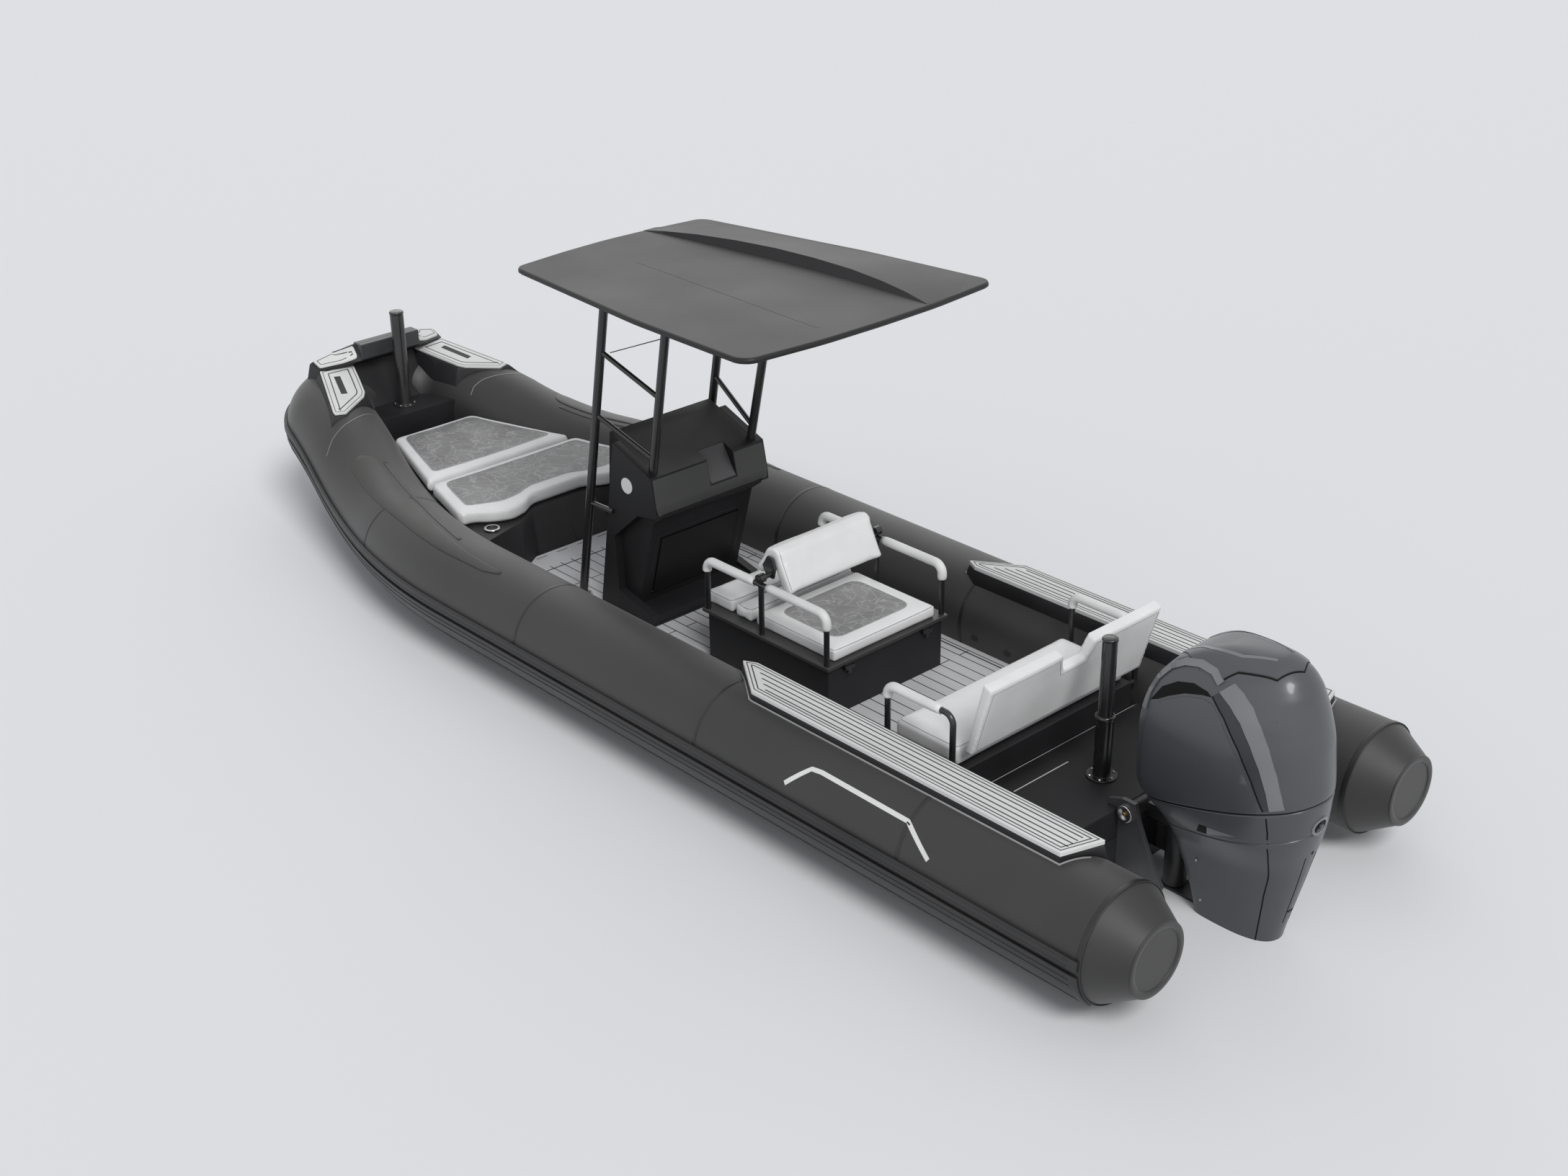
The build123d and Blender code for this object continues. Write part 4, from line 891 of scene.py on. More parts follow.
FASCIA = ([(0.412, 1.012), (0.424, 1.060), (0.416, 1.222)] + RECESS_GAP
          + [(-0.416, 1.222), (-0.424, 1.060), (-0.412, 1.012)])
# the fascia patch carries the painted light of the aft-facing face
lay_patch("console_fascia", console_tree, FASCIA, lambda y, z: (0.0, y, z), FORWARD, 0.004, 0.004, fascia_painted_light,
          pitch=0.02, round_edge=0.0015)
DOOR_FRAME = [(0.0, 0.330, 0.372), (0.0, 0.330, 0.830), (0.0, -0.330, 0.830), (0.0, -0.330, 0.372)]
lay_lines("console_door_frame", console_tree, [DOOR_FRAME], 0.004, gloss_black, way=FORWARD,
          closed=True)
FLOOR_SEAL = [(0.657, 0.436), (0.174, 0.436), (0.174, -0.436), (0.657, -0.436)]
lay_lines("console_floor_seal", floor_tree, [at_height(FLOOR_SEAL, 0.5)], 0.010, caulk_black,
          lift=0.004, closed=True)


# ---------------- hardtop
# A thin moulded roof panel, painted satin black, on four round alloy legs with braces.
# A long lens-shaped step is moulded along its starboard side, and a crease along its port side.
roof_paint = finish_material("roof_paint", (0.014, 0.014, 0.015), (0.020, 0.020, 0.021), (0.34, 0.46), blotch=1.2,
                             grain=500, relief=0.15, Specular_IOR_Level=0.30)
ROOF_PLAN = both_sides([(1.010, 0.0), (0.995, 0.300), (0.953, 0.655), (0.900, 0.700), (-0.300, 0.850),
                        (-1.150, 0.900), (-1.215, 0.850), (-1.260, 0.400), (-1.268, 0.0)])
# the panel's rounded edge: how far in from the outline, how far down from the top
ROOF_EDGE = [(0.070, -0.038), (0.012, -0.032), (0.0, -0.022), (0.0, -0.012), (0.004, -0.004), (0.016, 0.0)]
ROOF_RISE = 0.053 / 2.152


def roof_top(x):
    """The height of the roof's top, which rises towards the stern."""
    return 2.353 + (0.953 - x) * ROOF_RISE


roof_outline = rounded(ROOF_PLAN, 0.09, 6)
roof_rows = [[(x, y, roof_top(x) + down) for x, y in shrunk(roof_outline, inset)] for inset, down in ROOF_EDGE]
roof = stack("hardtop_panel", roof_rows, roof_paint, "boat")
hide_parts("hardtop_roof")
dress("hardtop_frame", frame_black)
# stations of the step along the roof: x, y at its foot, y at its crest, y where it meets the roof again, rise
STEP = [(0.985, -0.272, -0.276, -0.360, 0.0), (0.840, -0.300, -0.312, -0.620, 0.014),
        (0.600, -0.330, -0.352, -0.690, 0.031), (0.300, -0.352, -0.386, -0.730, 0.045),
        (0.000, -0.374, -0.416, -0.770, 0.050), (-0.300, -0.382, -0.426, -0.800, 0.050),
        (-0.600, -0.381, -0.420, -0.835, 0.046), (-0.850, -0.369, -0.400, -0.860, 0.036),
        (-1.050, -0.358, -0.378, -0.850, 0.021), (-1.235, -0.345, -0.349, -0.560, 0.0)]
SKIN = 0.004            # how far the step reaches into the roof
PROUD = 0.0005          # how far its edges stand over the roof


def step_strip(name, row_of, material):
    """A closed strip over the stations, one row of points each, with its folds left sharp."""
    strip = stack(name, [row_of(*station) for station in STEP], material, "boat", flat_ends=False)
    strip.data.set_sharp_from_angle(angle=radians(12))


def step_top(x, foot_y, crest_y, edge_y, rise):
    """The step's top, from its crest down to where it meets the roof again."""
    top = roof_top(x)
    return [(x, foot_y, top - SKIN), (x, foot_y, top + PROUD), (x, crest_y, top + rise + PROUD),
            (x, (crest_y + edge_y) / 2, top + rise * 0.42 + PROUD), (x, edge_y, top + PROUD), (x, edge_y, top - SKIN)]


def step_face_painted_shade(x, foot_y, crest_y, _, rise):
    """The step's steep face, just proud of its top's own edge, in a darker black as painted shade."""
    top = roof_top(x)
    return [(x, foot_y + 0.001, top - SKIN), (x, foot_y + 0.001, top + PROUD),
            (x, crest_y + 0.001, top + rise - 0.0005), (x, crest_y - 0.002, top + rise - 0.0015),
            (x, crest_y - 0.002, top - SKIN)]


step_strip("hardtop_step", step_top, roof_paint)
# its steep face takes the darker moulding black: painted shade on the face turned from the light
step_strip("hardtop_step_face", step_face_painted_shade, moulding_black)
ABOVE_ROOF = 2.55
CREASE = [(0.500, 0.168), (0.333, 0.180), (-0.447, 0.245), (-1.100, 0.302)]
lay_lines("hardtop_crease", surface_of(roof), [at_height(CREASE, ABOVE_ROOF)], 0.016, roof_paint,
          lift=0.0006)


def round_bar(name, path, radius, material, body, sides=12, shape=None):
    """A bar or sleeve of round section along a path; shape gives each point's own share of the radius."""
    path = [Vector(p) for p in path]
    rows = []
    across = None
    for i, p in enumerate(path):
        along = (path[min(i + 1, len(path) - 1)] - path[max(i - 1, 0)]).normalized()
        across = (across - along * across.dot(along) if across else along.orthogonal()).normalized()
        rows.append(ring(p, along, across, radius * (shape[i] if shape else 1), sides))
    return stack(name, rows, material, body)


LEG_X, LEG_Y = 0.806, 0.450
FOOT_RING = [(0.0, 0.026), (0.0, 0.040), (0.004, 0.040), (0.016, 0.030), (0.016, 0.026)]
for side, label in SIDES:
    round_bar("hardtop_stay_" + label, [(0.423, side * LEG_Y, 1.921), (0.032, side * 0.400, 2.086)], 0.003,
              frame_black, "boat")
    turned("leg_foot_ring_" + label, FOOT_RING, (LEG_X, side * LEG_Y, 0.293), UP, frame_black,
           around=48, closed=True)


# ---------------- helm seat
# A black moulded box with a hinged lid that overhangs it. The lid carries three
# upholstered cushions and a welded arm frame on each side; two latches hold it shut.
dress("helm_base", moulding_black, 0.006)
lid_charcoal = finish_material("lid_charcoal", (0.030, 0.030, 0.031), (0.044, 0.044, 0.045), (0.36, 0.48),
                               blotch=3, grain=400, relief=0.25)
dress("helm_lid", lid_charcoal, 0.005)
dress("helm_arm_frames", frame_black)
LID_TOP, HELM_CUSHION_TOP, HELM_HALF = 0.606, 0.678, 0.400
ABOVE_SEATS = 0.8


def oblong(x0, x1, half):
    return [(x0, -half), (x1, -half), (x1, half), (x0, half)]


for label, x0, x1 in (("aft", -1.315, -0.672), ("middle", -0.655, -0.512), ("fore", -0.495, -0.262)):
    outline = oblong(x0, x1, HELM_HALF)
    form = cushion_form("helm_cushion_" + label, outline, upright, LID_TOP + 0.001, HELM_CUSHION_TOP - 0.004, 0.006,
                        0.012)
    cushion = upholster(form, "helm_cushions", "helm_lid", 0.010, 0.008,
                        ((x0, -HELM_HALF, LID_TOP + 0.0005), (x1, HELM_HALF, HELM_CUSHION_TOP + 0.006)))
    cushion_tree = surface_of(cushion)
    sew("helm_cushion_seam_" + label, cushion_tree, rounded(shrunk(outline, 0.020), 0.02), ABOVE_SEATS, 0.003, 0.0012,
        "helm_lid")
    if label == "aft":
        insert = rounded(oblong(-1.215, -0.770, 0.290), 0.075)
        lay_patch("helm_cushion_insert", cushion_tree, insert, lambda x, y: (x, y, ABOVE_SEATS), DOWN, 0.0015, 0.004,
                  marbled_vinyl, "helm_lid")
        sew("helm_insert_seam", cushion_tree, insert, ABOVE_SEATS, 0.004, 0.0028, "helm_lid")

# each latch is a plate and two blocks, given as shares of the box between two corners
LATCH = ((0, 0.15, 0.30, 0.5, 0.85, 1), (0.1, 0, 0.45, 1, 1, 0.80), (0.45, 0.30, 0, 0.9, 0.70, 0.6))
for side, label in SIDES:
    low, high = (-1.308, side * 0.300 - 0.035, 0.525), (-1.338, side * 0.300 + 0.035, 0.580)
    points, faces = [], []
    for a0, b0, c0, a1, b1, c1 in LATCH:
        faces += stack_faces(2, 4, first=len(points))
        for c in (c0, c1):
            for shares in ((a0, b0, c), (a1, b0, c), (a1, b1, c), (a0, b1, c)):
                points.append([a + (b - a) * share for a, b, share in zip(low, high, shares)])
    latch = add_piece("helm_latch_" + label, points, faces, gloss_black, "boat", smooth=False)
    round_edges(latch, 0.003, 30)

# padded sleeves on the arm rails, wrapped over the outer corners
arm_vinyl = vinyl("arm_vinyl", (0.70, 0.70, 0.69), (0.79, 0.79, 0.78))


def arm_sleeve(name, node, body, inner_x, corner_x, rail_z, y, down):
    """A padded sleeve along a rail from inner_x, bent down around the corner over a post."""
    radius, bend = 0.026, 0.055
    way = 1 if corner_x > inner_x else -1
    start = corner_x - way * bend
    straight = [(x, y, rail_z) for x in steps_between(inner_x, start, 0.03)]
    turns = [(pi / 2) * k / 8 for k in range(1, 9)]
    corner = [(start + way * bend * sin(turn), y, rail_z - bend * (1 - cos(turn))) for turn in turns]
    drop_down = [(corner_x, y, rail_z - bend - down * k / 3) for k in range(1, 4)]
    path = straight + corner + drop_down
    ends = [0.78, 0.96] + [1.0] * (len(path) - 4) + [0.98, 0.86]
    sleeve = round_bar(name, path, radius, arm_vinyl, body, sides=20, shape=ends)
    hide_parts(node)
    under = [(x, y, z - radius * 0.99) for x, _, z in straight[:-1]]
    round_bar(name + "_seam", under, 0.0018, seam_thread, body, sides=6)


HELM_ARM_Y, HELM_RAIL_Z, BENCH_ARM_Y, BENCH_RAIL_Z = 0.441, 0.905, 0.704, 0.880
for side, label in SIDES:
    for end, inner_x, corner_x, down in (("aft", -0.840, -1.300, 0.030), ("fore", -0.740, -0.345, 0.012)):
        arm_sleeve(f"helm_sleeve_{end}_{label}", "helm_arm_pads", "helm_lid", inner_x, corner_x, HELM_RAIL_Z,
                   side * HELM_ARM_Y, down)

# the flip-over backrest: two padded panels that meet in a rounded ridge
BACK_HALF = 0.362
BACK_SECTION = [(-0.700, 0.905), (-0.650, 0.935), (-0.735, 1.085), (-0.790, 1.105), (-0.830, 1.085), (-0.935, 0.860),
                (-0.865, 0.830), (-0.778, 1.020)]
BACK_SEAM = [(-0.930, 0.880), (-0.870, 1.010), (-0.835, 1.085)]
form = cushion_form("helm_backrest_pad", BACK_SECTION, lambda x, z, y: (x, y, z), 0.006 - BACK_HALF,
                    BACK_HALF - 0.006, 0.004, 0.016)
backrest = upholster(form, "helm_backrest", "helm_backrest", 0.009, 0.006,
                     ((-0.937, -BACK_HALF, 0.826), (-0.646, BACK_HALF, 1.108)), pressure=3.0)
back_tree = surface_of(backrest)
for side, label in SIDES:
    lay_lines("helm_backrest_seam_" + label, back_tree, [[(x, side * 0.338, z) for x, z in BACK_SEAM]], 0.003,
              seam_thread, (0.9, 0, -0.42), 0.0012, "helm_backrest", pitch=0.02)
dress("backrest_links", frame_black, 0.0015)


# ---------------- aft bench
# A black moulded locker with a foam seat in white vinyl. The thick backrest is one
# padded wedge with a notch for the tow post, between two arms of bent tube.
dress("bench_base", moulding_black, 0.006)
dress("bench_arm_frames", frame_black)
BENCH_HALF = 0.656
outline = oblong(-2.440, -1.985, BENCH_HALF)
form = cushion_form("bench_seat_pad", outline, upright, 0.556, 0.656, 0.007, 0.026)
bench_seat = upholster(form, "bench_cushion", "boat", 0.012, 0.010,
                       ((-2.4395, -BENCH_HALF, 0.5555), (-1.975, BENCH_HALF, 0.666)))
sew("bench_seat_seam", surface_of(bench_seat), rounded(shrunk(outline, 0.030), 0.03), ABOVE_SEATS, 0.003, 0.0012)
BENCH_BACK_FOOT, BENCH_BACK_HEIGHT = 0.655, 0.411


def bench_back_point(y, z, share):
    """A point of the bench backrest: share runs from its aft face, 0, to its front face, 1."""
    up_share = (z - BENCH_BACK_FOOT) / BENCH_BACK_HEIGHT
    aft_x = -2.520 - 0.120 * up_share
    front_x = -2.474 - 0.106 * up_share
    return (aft_x + (front_x - aft_x) * share, y, z + 0.022 * share * up_share)


BENCH_BACK = [(-0.656, 0.657), (0.656, 0.657), (0.656, 1.066), (0.118, 1.066), (0.078, 0.962), (-0.078, 0.962),
              (-0.118, 1.066), (-0.656, 1.066)]
BENCH_BACK_SEAM = [(-0.625, 0.690), (0.625, 0.690), (0.625, 1.035), (0.140, 1.035), (0.100, 0.932), (-0.100, 0.932),
                   (-0.140, 1.035), (-0.625, 1.035)]
form = cushion_form("bench_back_pad", BENCH_BACK, bench_back_point, 0.03, 0.97, 0.004, 0.006)
bench_back = upholster(form, "bench_backrest", "boat", 0.009, 0.004,
                       ((-2.642, -BENCH_HALF, 0.656), (-2.441, BENCH_HALF, 1.089)), pressure=2.0)
seam = [bench_back_point(y, z, 0.0) for y, z in BENCH_BACK_SEAM]
lay_lines("bench_back_seam", surface_of(bench_back), [seam], 0.003, seam_thread, (0.96, 0, 0.28),
          0.0012, closed=True, pitch=0.03)
for side, label in SIDES:
    arm_sleeve("bench_sleeve_" + label, "bench_arm_pads", "boat", -2.370, -2.010, BENCH_RAIL_Z, side * BENCH_ARM_Y,
               0.015)


# ---------------- outboard engine
# A large outboard under a moulded cowl in charcoal metallic paint: side panels, a top
# cap and an apron, parted by black seams, on a cast clamp and swivel bracket. Its ridges,
# bevels, creases and rims are drawn in a much paler grey as painted highlight.
cowl_paint = finish_material("cowl_paint", (0.058, 0.062, 0.069), (0.076, 0.080, 0.088), (0.36, 0.44), blotch=1.5,
                             grain=1500, relief=0.08, Metallic=0.15, Coat_Weight=0.35, Coat_Roughness=0.12)
# near black for the seams and gasket, and as painted shade in the intake and vent openings
cowl_dark = finish_material("cowl_dark", 0.003, 0.006, (0.45, 0.60), blotch=4, grain=700, relief=0.15,
                            Specular_IOR_Level=0.15)
cowl_band = finish_material("cowl_band", (0.036, 0.038, 0.042), (0.046, 0.049, 0.054), (0.36, 0.46), blotch=3,
                            grain=1500, relief=0.08, Metallic=0.25)
# a much paler grey for painted highlights on the cowl's ridges, bevels, creases and rims
cowl_painted_highlight = finish_material("cowl_painted_highlight", (0.165, 0.170, 0.178), (0.200, 0.205, 0.214), (0.28, 0.36), blotch=2,
                             grain=1500, relief=0.08, Metallic=0.3, Coat_Weight=0.35, Coat_Roughness=0.10)
FRONT_EDGE = [(-0.080, -3.500), (0.060, -3.480), (0.240, -3.415), (0.420, -3.340), (0.560, -3.300), (0.625, -3.208),
              (0.690, -3.181), (1.010, -3.180), (1.150, -3.214), (1.260, -3.260), (1.340, -3.325), (1.400, -3.425),
              (1.440, -3.545), (1.456, -3.660), (1.462, -3.769)]
AFT_EDGE = [(-0.080, -3.905), (0.048, -3.930), (0.379, -4.011), (0.638, -4.061), (0.841, -4.077), (1.086, -4.047),
            (1.210, -4.010), (1.329, -3.966), (1.390, -3.925), (1.430, -3.876), (1.453, -3.820), (1.462, -3.769)]
HALF_WIDTH = [(-0.080, 0.118), (0.060, 0.124), (0.240, 0.134), (0.400, 0.160), (0.500, 0.215), (0.560, 0.254),
              (0.625, 0.276), (0.700, 0.287), (0.900, 0.293), (1.040, 0.290), (1.120, 0.281), (1.220, 0.260),
              (1.300, 0.229), (1.360, 0.193), (1.405, 0.152), (1.440, 0.095), (1.456, 0.050), (1.462, 0.0)]
# the cowl's plan from its front edge to its aft edge: share of the length, share of the half width
COWL_PLAN = [(0.0, 0.0), (0.0, 0.40), (0.0, 0.66), (0.012, 0.82), (0.06, 0.93), (0.16, 0.98), (0.32, 1.0),
             (0.50, 0.995), (0.65, 0.955), (0.77, 0.87), (0.865, 0.74), (0.93, 0.585), (0.97, 0.40), (0.99, 0.21),
             (1.0, 0.0)]
SEAM_SLOPE = 0.27       # the seams rise towards the stern
SEAM_MIDDLE = -3.620
FLARE = 1.02            # makes up for what the smoothing takes off


def smooth_between(table, value):
    """A value read from a table, averaged over a short reach so that the rows don't show."""
    low, high = table[0][0], table[-1][0]
    values = [between(table, min(max(value + 0.01 * k, low), high)) for k in range(-3, 4)]
    return sum(values) / len(values)


def cowl_ring(z, inset=0.0):
    """The cowl's outline around a level, moved inwards by inset; it tilts with the seams near them."""
    tilt = SEAM_SLOPE * max(0.0, min(1.0, (1.30 - z) / 0.50, (z - 0.05) / 0.45))
    easing = smooth_between if z < 1.30 else between
    port = []
    for t, w in COWL_PLAN:
        level = z
        for _ in range(3):
            x = easing(FRONT_EDGE, level) * (1 - t) + easing(AFT_EDGE, level) * t
            level = z + tilt * (SEAM_MIDDLE - x)
        port.append((x, easing(HALF_WIDTH, level) * w * FLARE, level))
    middle = (port[0][0] + port[-1][0]) / 2
    result = []
    for x, y, level in port + [(x, -y, level) for x, y, level in reversed(port[1:-1])]:
        reach = sqrt((x - middle) ** 2 + y * y) or 1
        share = max(0.0, 1 - inset / reach)
        result.append((middle + (x - middle) * share, y * share, level))
    return result


STEER, PAINT, BLACK = "engine_steer", "engine_cowl_paint", "engine_black"


def cowl_form(name, levels, material, replaced=None):
    """A smooth closed form over the cowl's outlines at some levels, each a height and an inset."""
    piece = stack(name, [cowl_ring(z, inset) for z, inset in levels], material, STEER, flat_ends=False)
    finer = piece.modifiers.new("finer", "SUBSURF")
    finer.levels = finer.render_levels = 2
    if replaced:
        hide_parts(replaced)
    return piece


SEAM_Z, LOWER_SEAM_Z = 0.700, 0.540
cowl_levels = [(SEAM_Z + 0.004, 0.030), (SEAM_Z + 0.004, 0.008), (SEAM_Z + 0.006, 0.003), (SEAM_Z + 0.010, 0)]
cowl_levels += [(0.710 + 0.746 * (1 - (1 - k / 40) ** 1.35), 0) for k in range(1, 41)] + [(1.460, 0)]
apron_levels = [(-0.080, 0.010), (-0.076, 0)] + [(-0.060 + 0.040 * k, 0) for k in range(15)]
apron_levels += [(LOWER_SEAM_Z + rise, inset) for rise, inset in
                 ((-0.012, 0), (-0.004, 0), (-0.0025, 0.006), (0.0025, 0.006), (0.004, 0), (0.012, 0))]
apron_levels += [(0.560 + 0.040 * k, 0) for k in range(4)]
apron_levels += [(SEAM_Z - 0.008, 0), (SEAM_Z - 0.004, 0.003), (SEAM_Z - 0.002, 0.008), (SEAM_Z - 0.002, 0.030)]
gasket_levels = [(SEAM_Z - 0.003, 0.020), (SEAM_Z - 0.003, 0.007), (SEAM_Z + 0.005, 0.007), (SEAM_Z + 0.005, 0.020)]
cowl_tree = surface_of(cowl_form("engine_cowl_shell", cowl_levels, cowl_paint, "engine_cowl"))
apron_tree = surface_of(cowl_form("engine_apron_shell", apron_levels, cowl_paint, "engine_apron"))
cowl_form("engine_seam_gasket", gasket_levels, cowl_dark)
engine_cast = finish_material("engine_cast", (0.085, 0.086, 0.090), (0.115, 0.116, 0.121), (0.34, 0.46), blotch=5,
                              grain=500, relief=0.25, Metallic=0.3)
engine_satin = finish_material("engine_satin", (0.020, 0.020, 0.021), (0.034, 0.034, 0.036), (0.34, 0.46),
                               blotch=5, grain=500, relief=0.25)
brass = finish_material("brass", (0.42, 0.28, 0.10), (0.52, 0.36, 0.14), (0.28, 0.36), blotch=30, grain=900,
                        Metallic=0.9)
dress("clamp_bracket", engine_cast, 0.003)
dress("swivel_bracket", engine_satin, 0.003)
dress("engine_leg", engine_satin, 0.006)
dress("lower_unit", cowl_paint)
dress("propeller", polished_steel)
block_iron = finish_material("block_iron", 0.16, 0.24, (0.5, 0.6), grain=300, Metallic=0.8)
dress("powerhead_block", block_iron)

# panels laid on the cowl: outlines as x, z seen from the side, except the cap's as x, y from above
ABOVE_COWL, BESIDE_COWL, ASTERN_OF_COWL = 1.6, 0.34, -4.3
CAP_SEAM = [(-3.890, 0.0), (-3.835, 0.122), (-3.740, 0.150), (-3.662, 0.168), (-3.598, 0.214)]
CAP = CAP_SEAM + [(-3.480, 0.205), (-3.400, 0.172), (-3.330, 0.120), (-3.300, 0.0)]
lay_patch("engine_cap", cowl_tree, both_sides(CAP), lambda x, y: (x, y, ABOVE_COWL), DOWN, 0.009, 0.006, cowl_paint,
          STEER, round_edge=0.004)
cap_seam = at_height(CAP_SEAM[:0:-1], ABOVE_COWL, -1) + at_height(CAP_SEAM, ABOVE_COWL)
lay_lines("engine_cap_seam", cowl_tree, [cap_seam], 0.011, cowl_dark, lift=0.003, body=STEER, sunk=0.003,
          pitch=0.02)
# painted highlights along the cap's creases, as raised lines in the pale grey
CAP_CREASE = [(-3.300, 0.085), (-3.480, 0.120), (-3.640, 0.112), (-3.790, 0.060)]
lay_lines("engine_cap_crease_highlights", cowl_tree, [at_height(CAP_CREASE, ABOVE_COWL, side) for side, _ in SIDES], 0.014,
          cowl_painted_highlight, lift=0.011, body=STEER, sunk=0.002, pitch=0.03)
ARCH = [(-3.236, 1.100), (-3.244, 1.190), (-3.275, 1.280), (-3.330, 1.355), (-3.400, 1.402), (-3.480, 1.422),
        (-3.560, 1.412), (-3.612, 1.372)]
INTAKE = [(-3.268, 1.130), (-3.320, 1.215), (-3.395, 1.266), (-3.480, 1.288), (-3.560, 1.278), (-3.588, 1.262),
          (-3.540, 1.256), (-3.450, 1.232), (-3.370, 1.190), (-3.310, 1.150)]
STRIP_FORE = [(-3.590, 1.268), (-3.675, 1.195), (-3.770, 1.075), (-3.846, 0.940), (-3.894, 0.830), (-3.908, 0.800)]
STRIP_MIDDLE = [(-3.618, 1.296), (-3.690, 1.255), (-3.755, 1.200), (-3.820, 1.110), (-3.872, 1.010), (-3.914, 0.895),
                (-3.934, 0.808)]
STRIP_AFT = [(-3.672, 1.350), (-3.730, 1.325), (-3.790, 1.280), (-3.850, 1.200), (-3.900, 1.110), (-3.945, 0.990),
             (-3.975, 0.880), (-3.988, 0.825)]
SIDE_PANEL = [(-3.262, 0.640), (-3.256, 0.800), (-3.258, 0.960), (-3.274, 1.080), (-3.318, 1.140), (-3.380, 1.180),
              (-3.460, 1.222), (-3.550, 1.244), (-3.600, 1.236), (-3.668, 1.170), (-3.755, 1.055), (-3.828, 0.930),
              (-3.880, 0.810), (-3.882, 0.788), (-3.760, 0.756), (-3.620, 0.716), (-3.440, 0.668)]
VENT = [(-3.572, 0.548), (-3.598, 0.606), (-3.640, 0.612), (-3.632, 0.562)]
VENT_TAPER = [(-3.636, 0.563), (-3.644, 0.611), (-3.720, 0.617), (-3.790, 0.622), (-3.720, 0.598)]
APRON_SEAM = [(-3.922, 0.765), (-3.931, 0.685), (-3.929, 0.562), (-3.905, 0.400), (-3.880, 0.274), (-3.855, 0.056),
              (-3.846, -0.04)]
# the strip between the middle and aft lines is a bevel drawn in the pale grey as painted highlight
DARK_STRIP, HIGHLIGHT_STRIP = STRIP_FORE + STRIP_MIDDLE[::-1], STRIP_MIDDLE + STRIP_AFT[::-1]
# name, surface, outline, lift, how far its sides reach in, material, slot, pitch, round edge
PANELS = [("side_panel", cowl_tree, SIDE_PANEL, 0.006, 0.006, cowl_paint, PAINT, 0.03, 0.003),
          # the intake is a dark patch: painted shade in the opening under the arch
          ("intake", cowl_tree, INTAKE, 0.0015, 0.004, cowl_dark, BLACK, 0.02, 0),
          ("dark_strip", cowl_tree, DARK_STRIP, 0.0015, 0.004, cowl_band, PAINT, 0.02, 0),
          ("painted_highlight_strip", cowl_tree, HIGHLIGHT_STRIP, 0.005, 0.006, cowl_painted_highlight, PAINT, 0.02, 0.002),
          # the vent is a dark patch: painted shade in its hole at the front of the recess
          ("vent", apron_tree, VENT, 0.001, 0.004, cowl_dark, BLACK, 0.02, 0),
          # the vent's taper in the pale grey is painted light
          ("vent_taper", apron_tree, VENT_TAPER, 0.002, 0.004, cowl_painted_highlight, PAINT, 0.02, 0)]
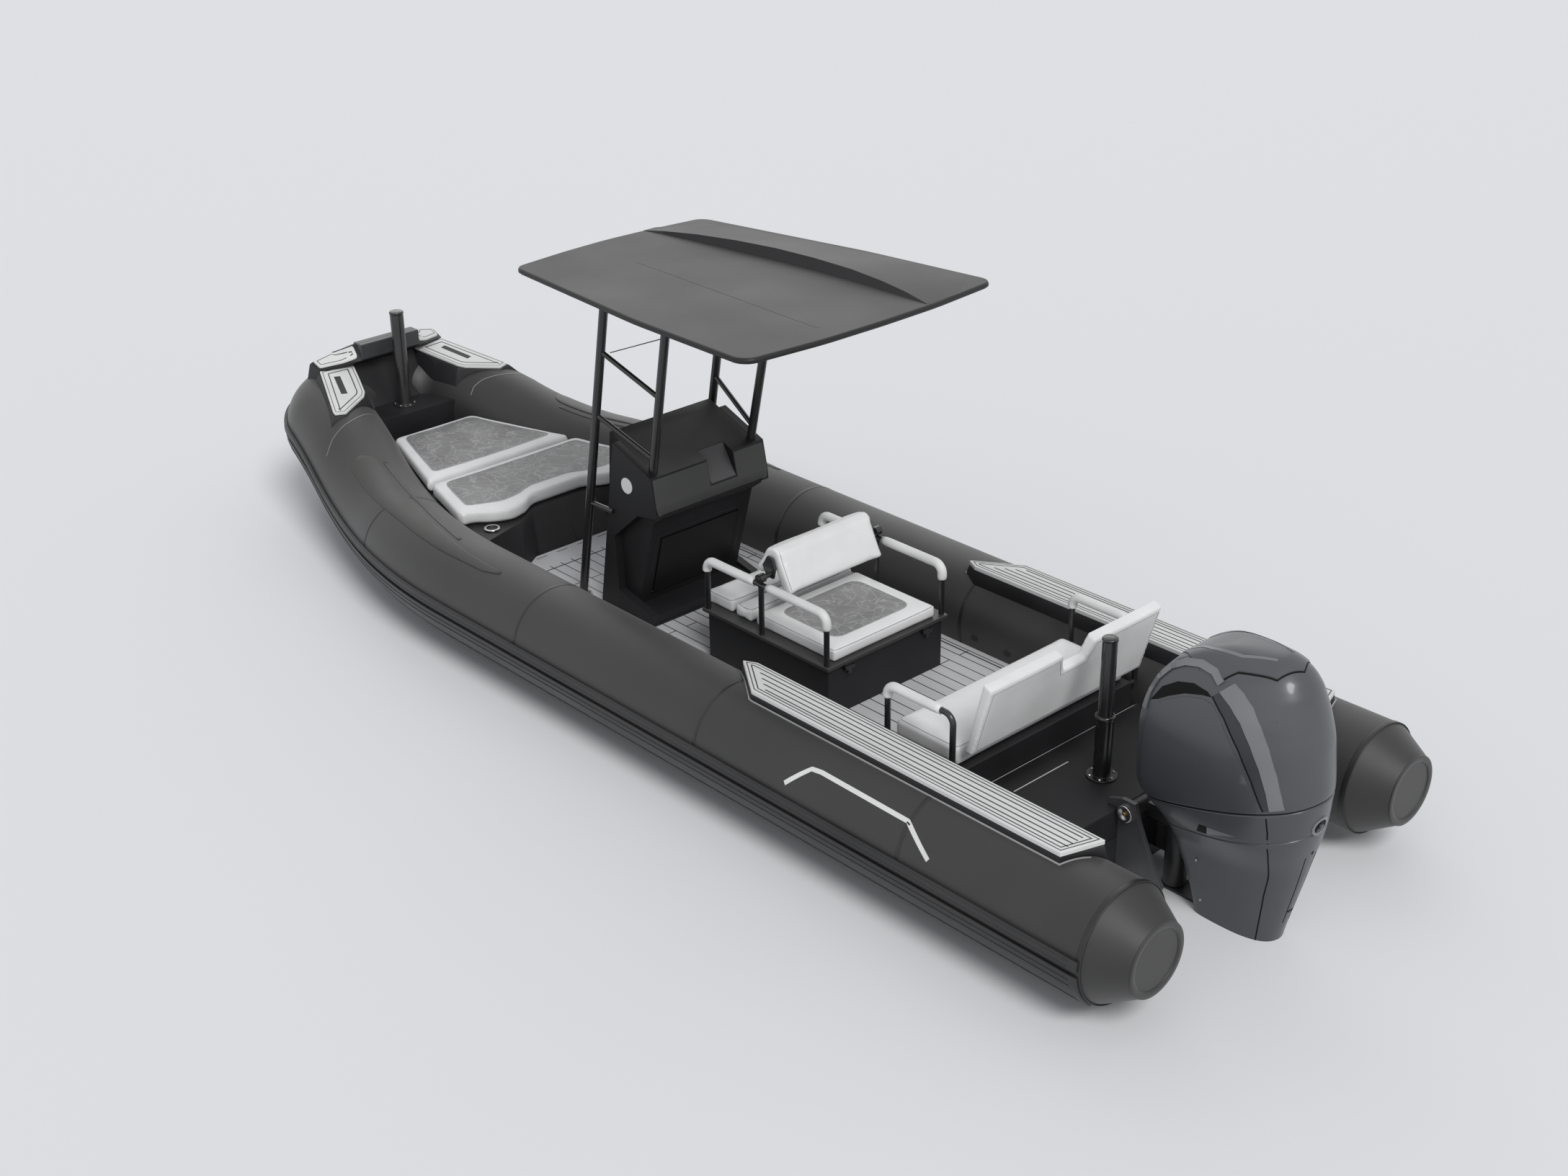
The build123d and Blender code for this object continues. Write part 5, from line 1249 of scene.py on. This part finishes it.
# the clamp plate's pivot boss: a steel ring with a brass centre
BOSS_RING = [(0, 0.012), (0, 0.044), (0.006, 0.046), (0.010, 0.043), (0.010, 0.030), (0.005, 0.028), (0.005, 0.012)]
BOSS_FACE = [(0.001, 0.0), (0.001, 0.029), (0.004, 0.029), (0.004, 0.0)]
BOSS_BRASS = [(0.004, 0.0), (0.004, 0.011), (0.008, 0.010), (0.008, 0.0)]
for side, label in SIDES:
    inboard, outboard = (0, -side, 0), (0, side, 0)

    def beside(x, z, y=side * BESIDE_COWL):
        return (x, y, z)

    for part, tree, outline, lift, sunk, material, slot, pitch, round_edge in PANELS:
        lay_patch(f"engine_{part}_{label}", tree, outline, beside, inboard, lift, sunk, material, STEER, pitch,
                  round_edge)
    for part, tree, line, width, material, slot, way, lift, sunk, pitch in (
            ("panel_seam", cowl_tree, STRIP_FORE, 0.006, cowl_dark, BLACK, inboard, 0.003, 0.003, 0.02),
            # the arch over the intake is a raised band in the pale grey: painted highlight along its top
            ("arch", cowl_tree, ARCH, 0.034, cowl_painted_highlight, PAINT, (0, -side * 0.9, -0.3), 0.010, 0.008, 0.02),
            ("apron_seam", apron_tree, APRON_SEAM, 0.006, cowl_dark, BLACK, inboard, 0.001, 0.0015, 0.04)):
        lay_lines(f"engine_{part}_{label}", tree, [[beside(x, z) for x, z in line]], width, material, way, lift,
                  STEER, sunk, pitch)
    bolt_heads("engine_apron_screws_" + label, [(-3.520, side * 0.150, 0.316), (-3.545, side * 0.122, 0.089)],
               (0.3, side, 0), 0.008, 0.006, STEER)
    boss = (-3.120, side * 0.197, 0.410)
    turned("tilt_boss_ring_" + label, BOSS_RING, boss, outboard, bolt_steel, around=64, closed=True)
    turned("tilt_boss_face_" + label, BOSS_FACE, boss, outboard, engine_satin, around=48)
    turned("tilt_boss_brass_" + label, BOSS_BRASS, boss, outboard, brass, around=32)


def astern(y, z):
    return (ASTERN_OF_COWL, y, z)


for part, outline, lift, material in (("socket", ellipse(0, 0.690, 0.042, 0.030), 0.001, cowl_dark),
                                      ("socket_pin", ellipse(0, 0.690, 0.014, 0.014, 12), 0.010, engine_cast),
                                      ("bolt_hole", ellipse(0, 0.535, 0.010, 0.010, 12), 0.001, cowl_dark),
                                      ("aft_slot", ellipse(0, 0.180, 0.028, 0.008, 16), 0.001, cowl_dark)):
    lay_patch("engine_" + part, apron_tree, outline, astern, FORWARD, lift, 0.004, material, STEER, pitch=0.02)
# the socket's rim in the pale grey is painted highlight
lay_lines("engine_socket_rim", apron_tree, [[astern(y, z) for y, z in ellipse(0, 0.690, 0.052, 0.040)]], 0.014,
          cowl_painted_highlight, FORWARD, 0.004, STEER, closed=True, pitch=0.02)
aft_lines = [[astern(side * y, z) for y, z in ((0.040, 0.520), (0.030, 0.300), (0.024, 0.110))] for side, _ in SIDES]
lay_lines("engine_aft_lines", apron_tree, aft_lines, 0.004, cowl_dark, FORWARD, 0.001, STEER, pitch=0.03)
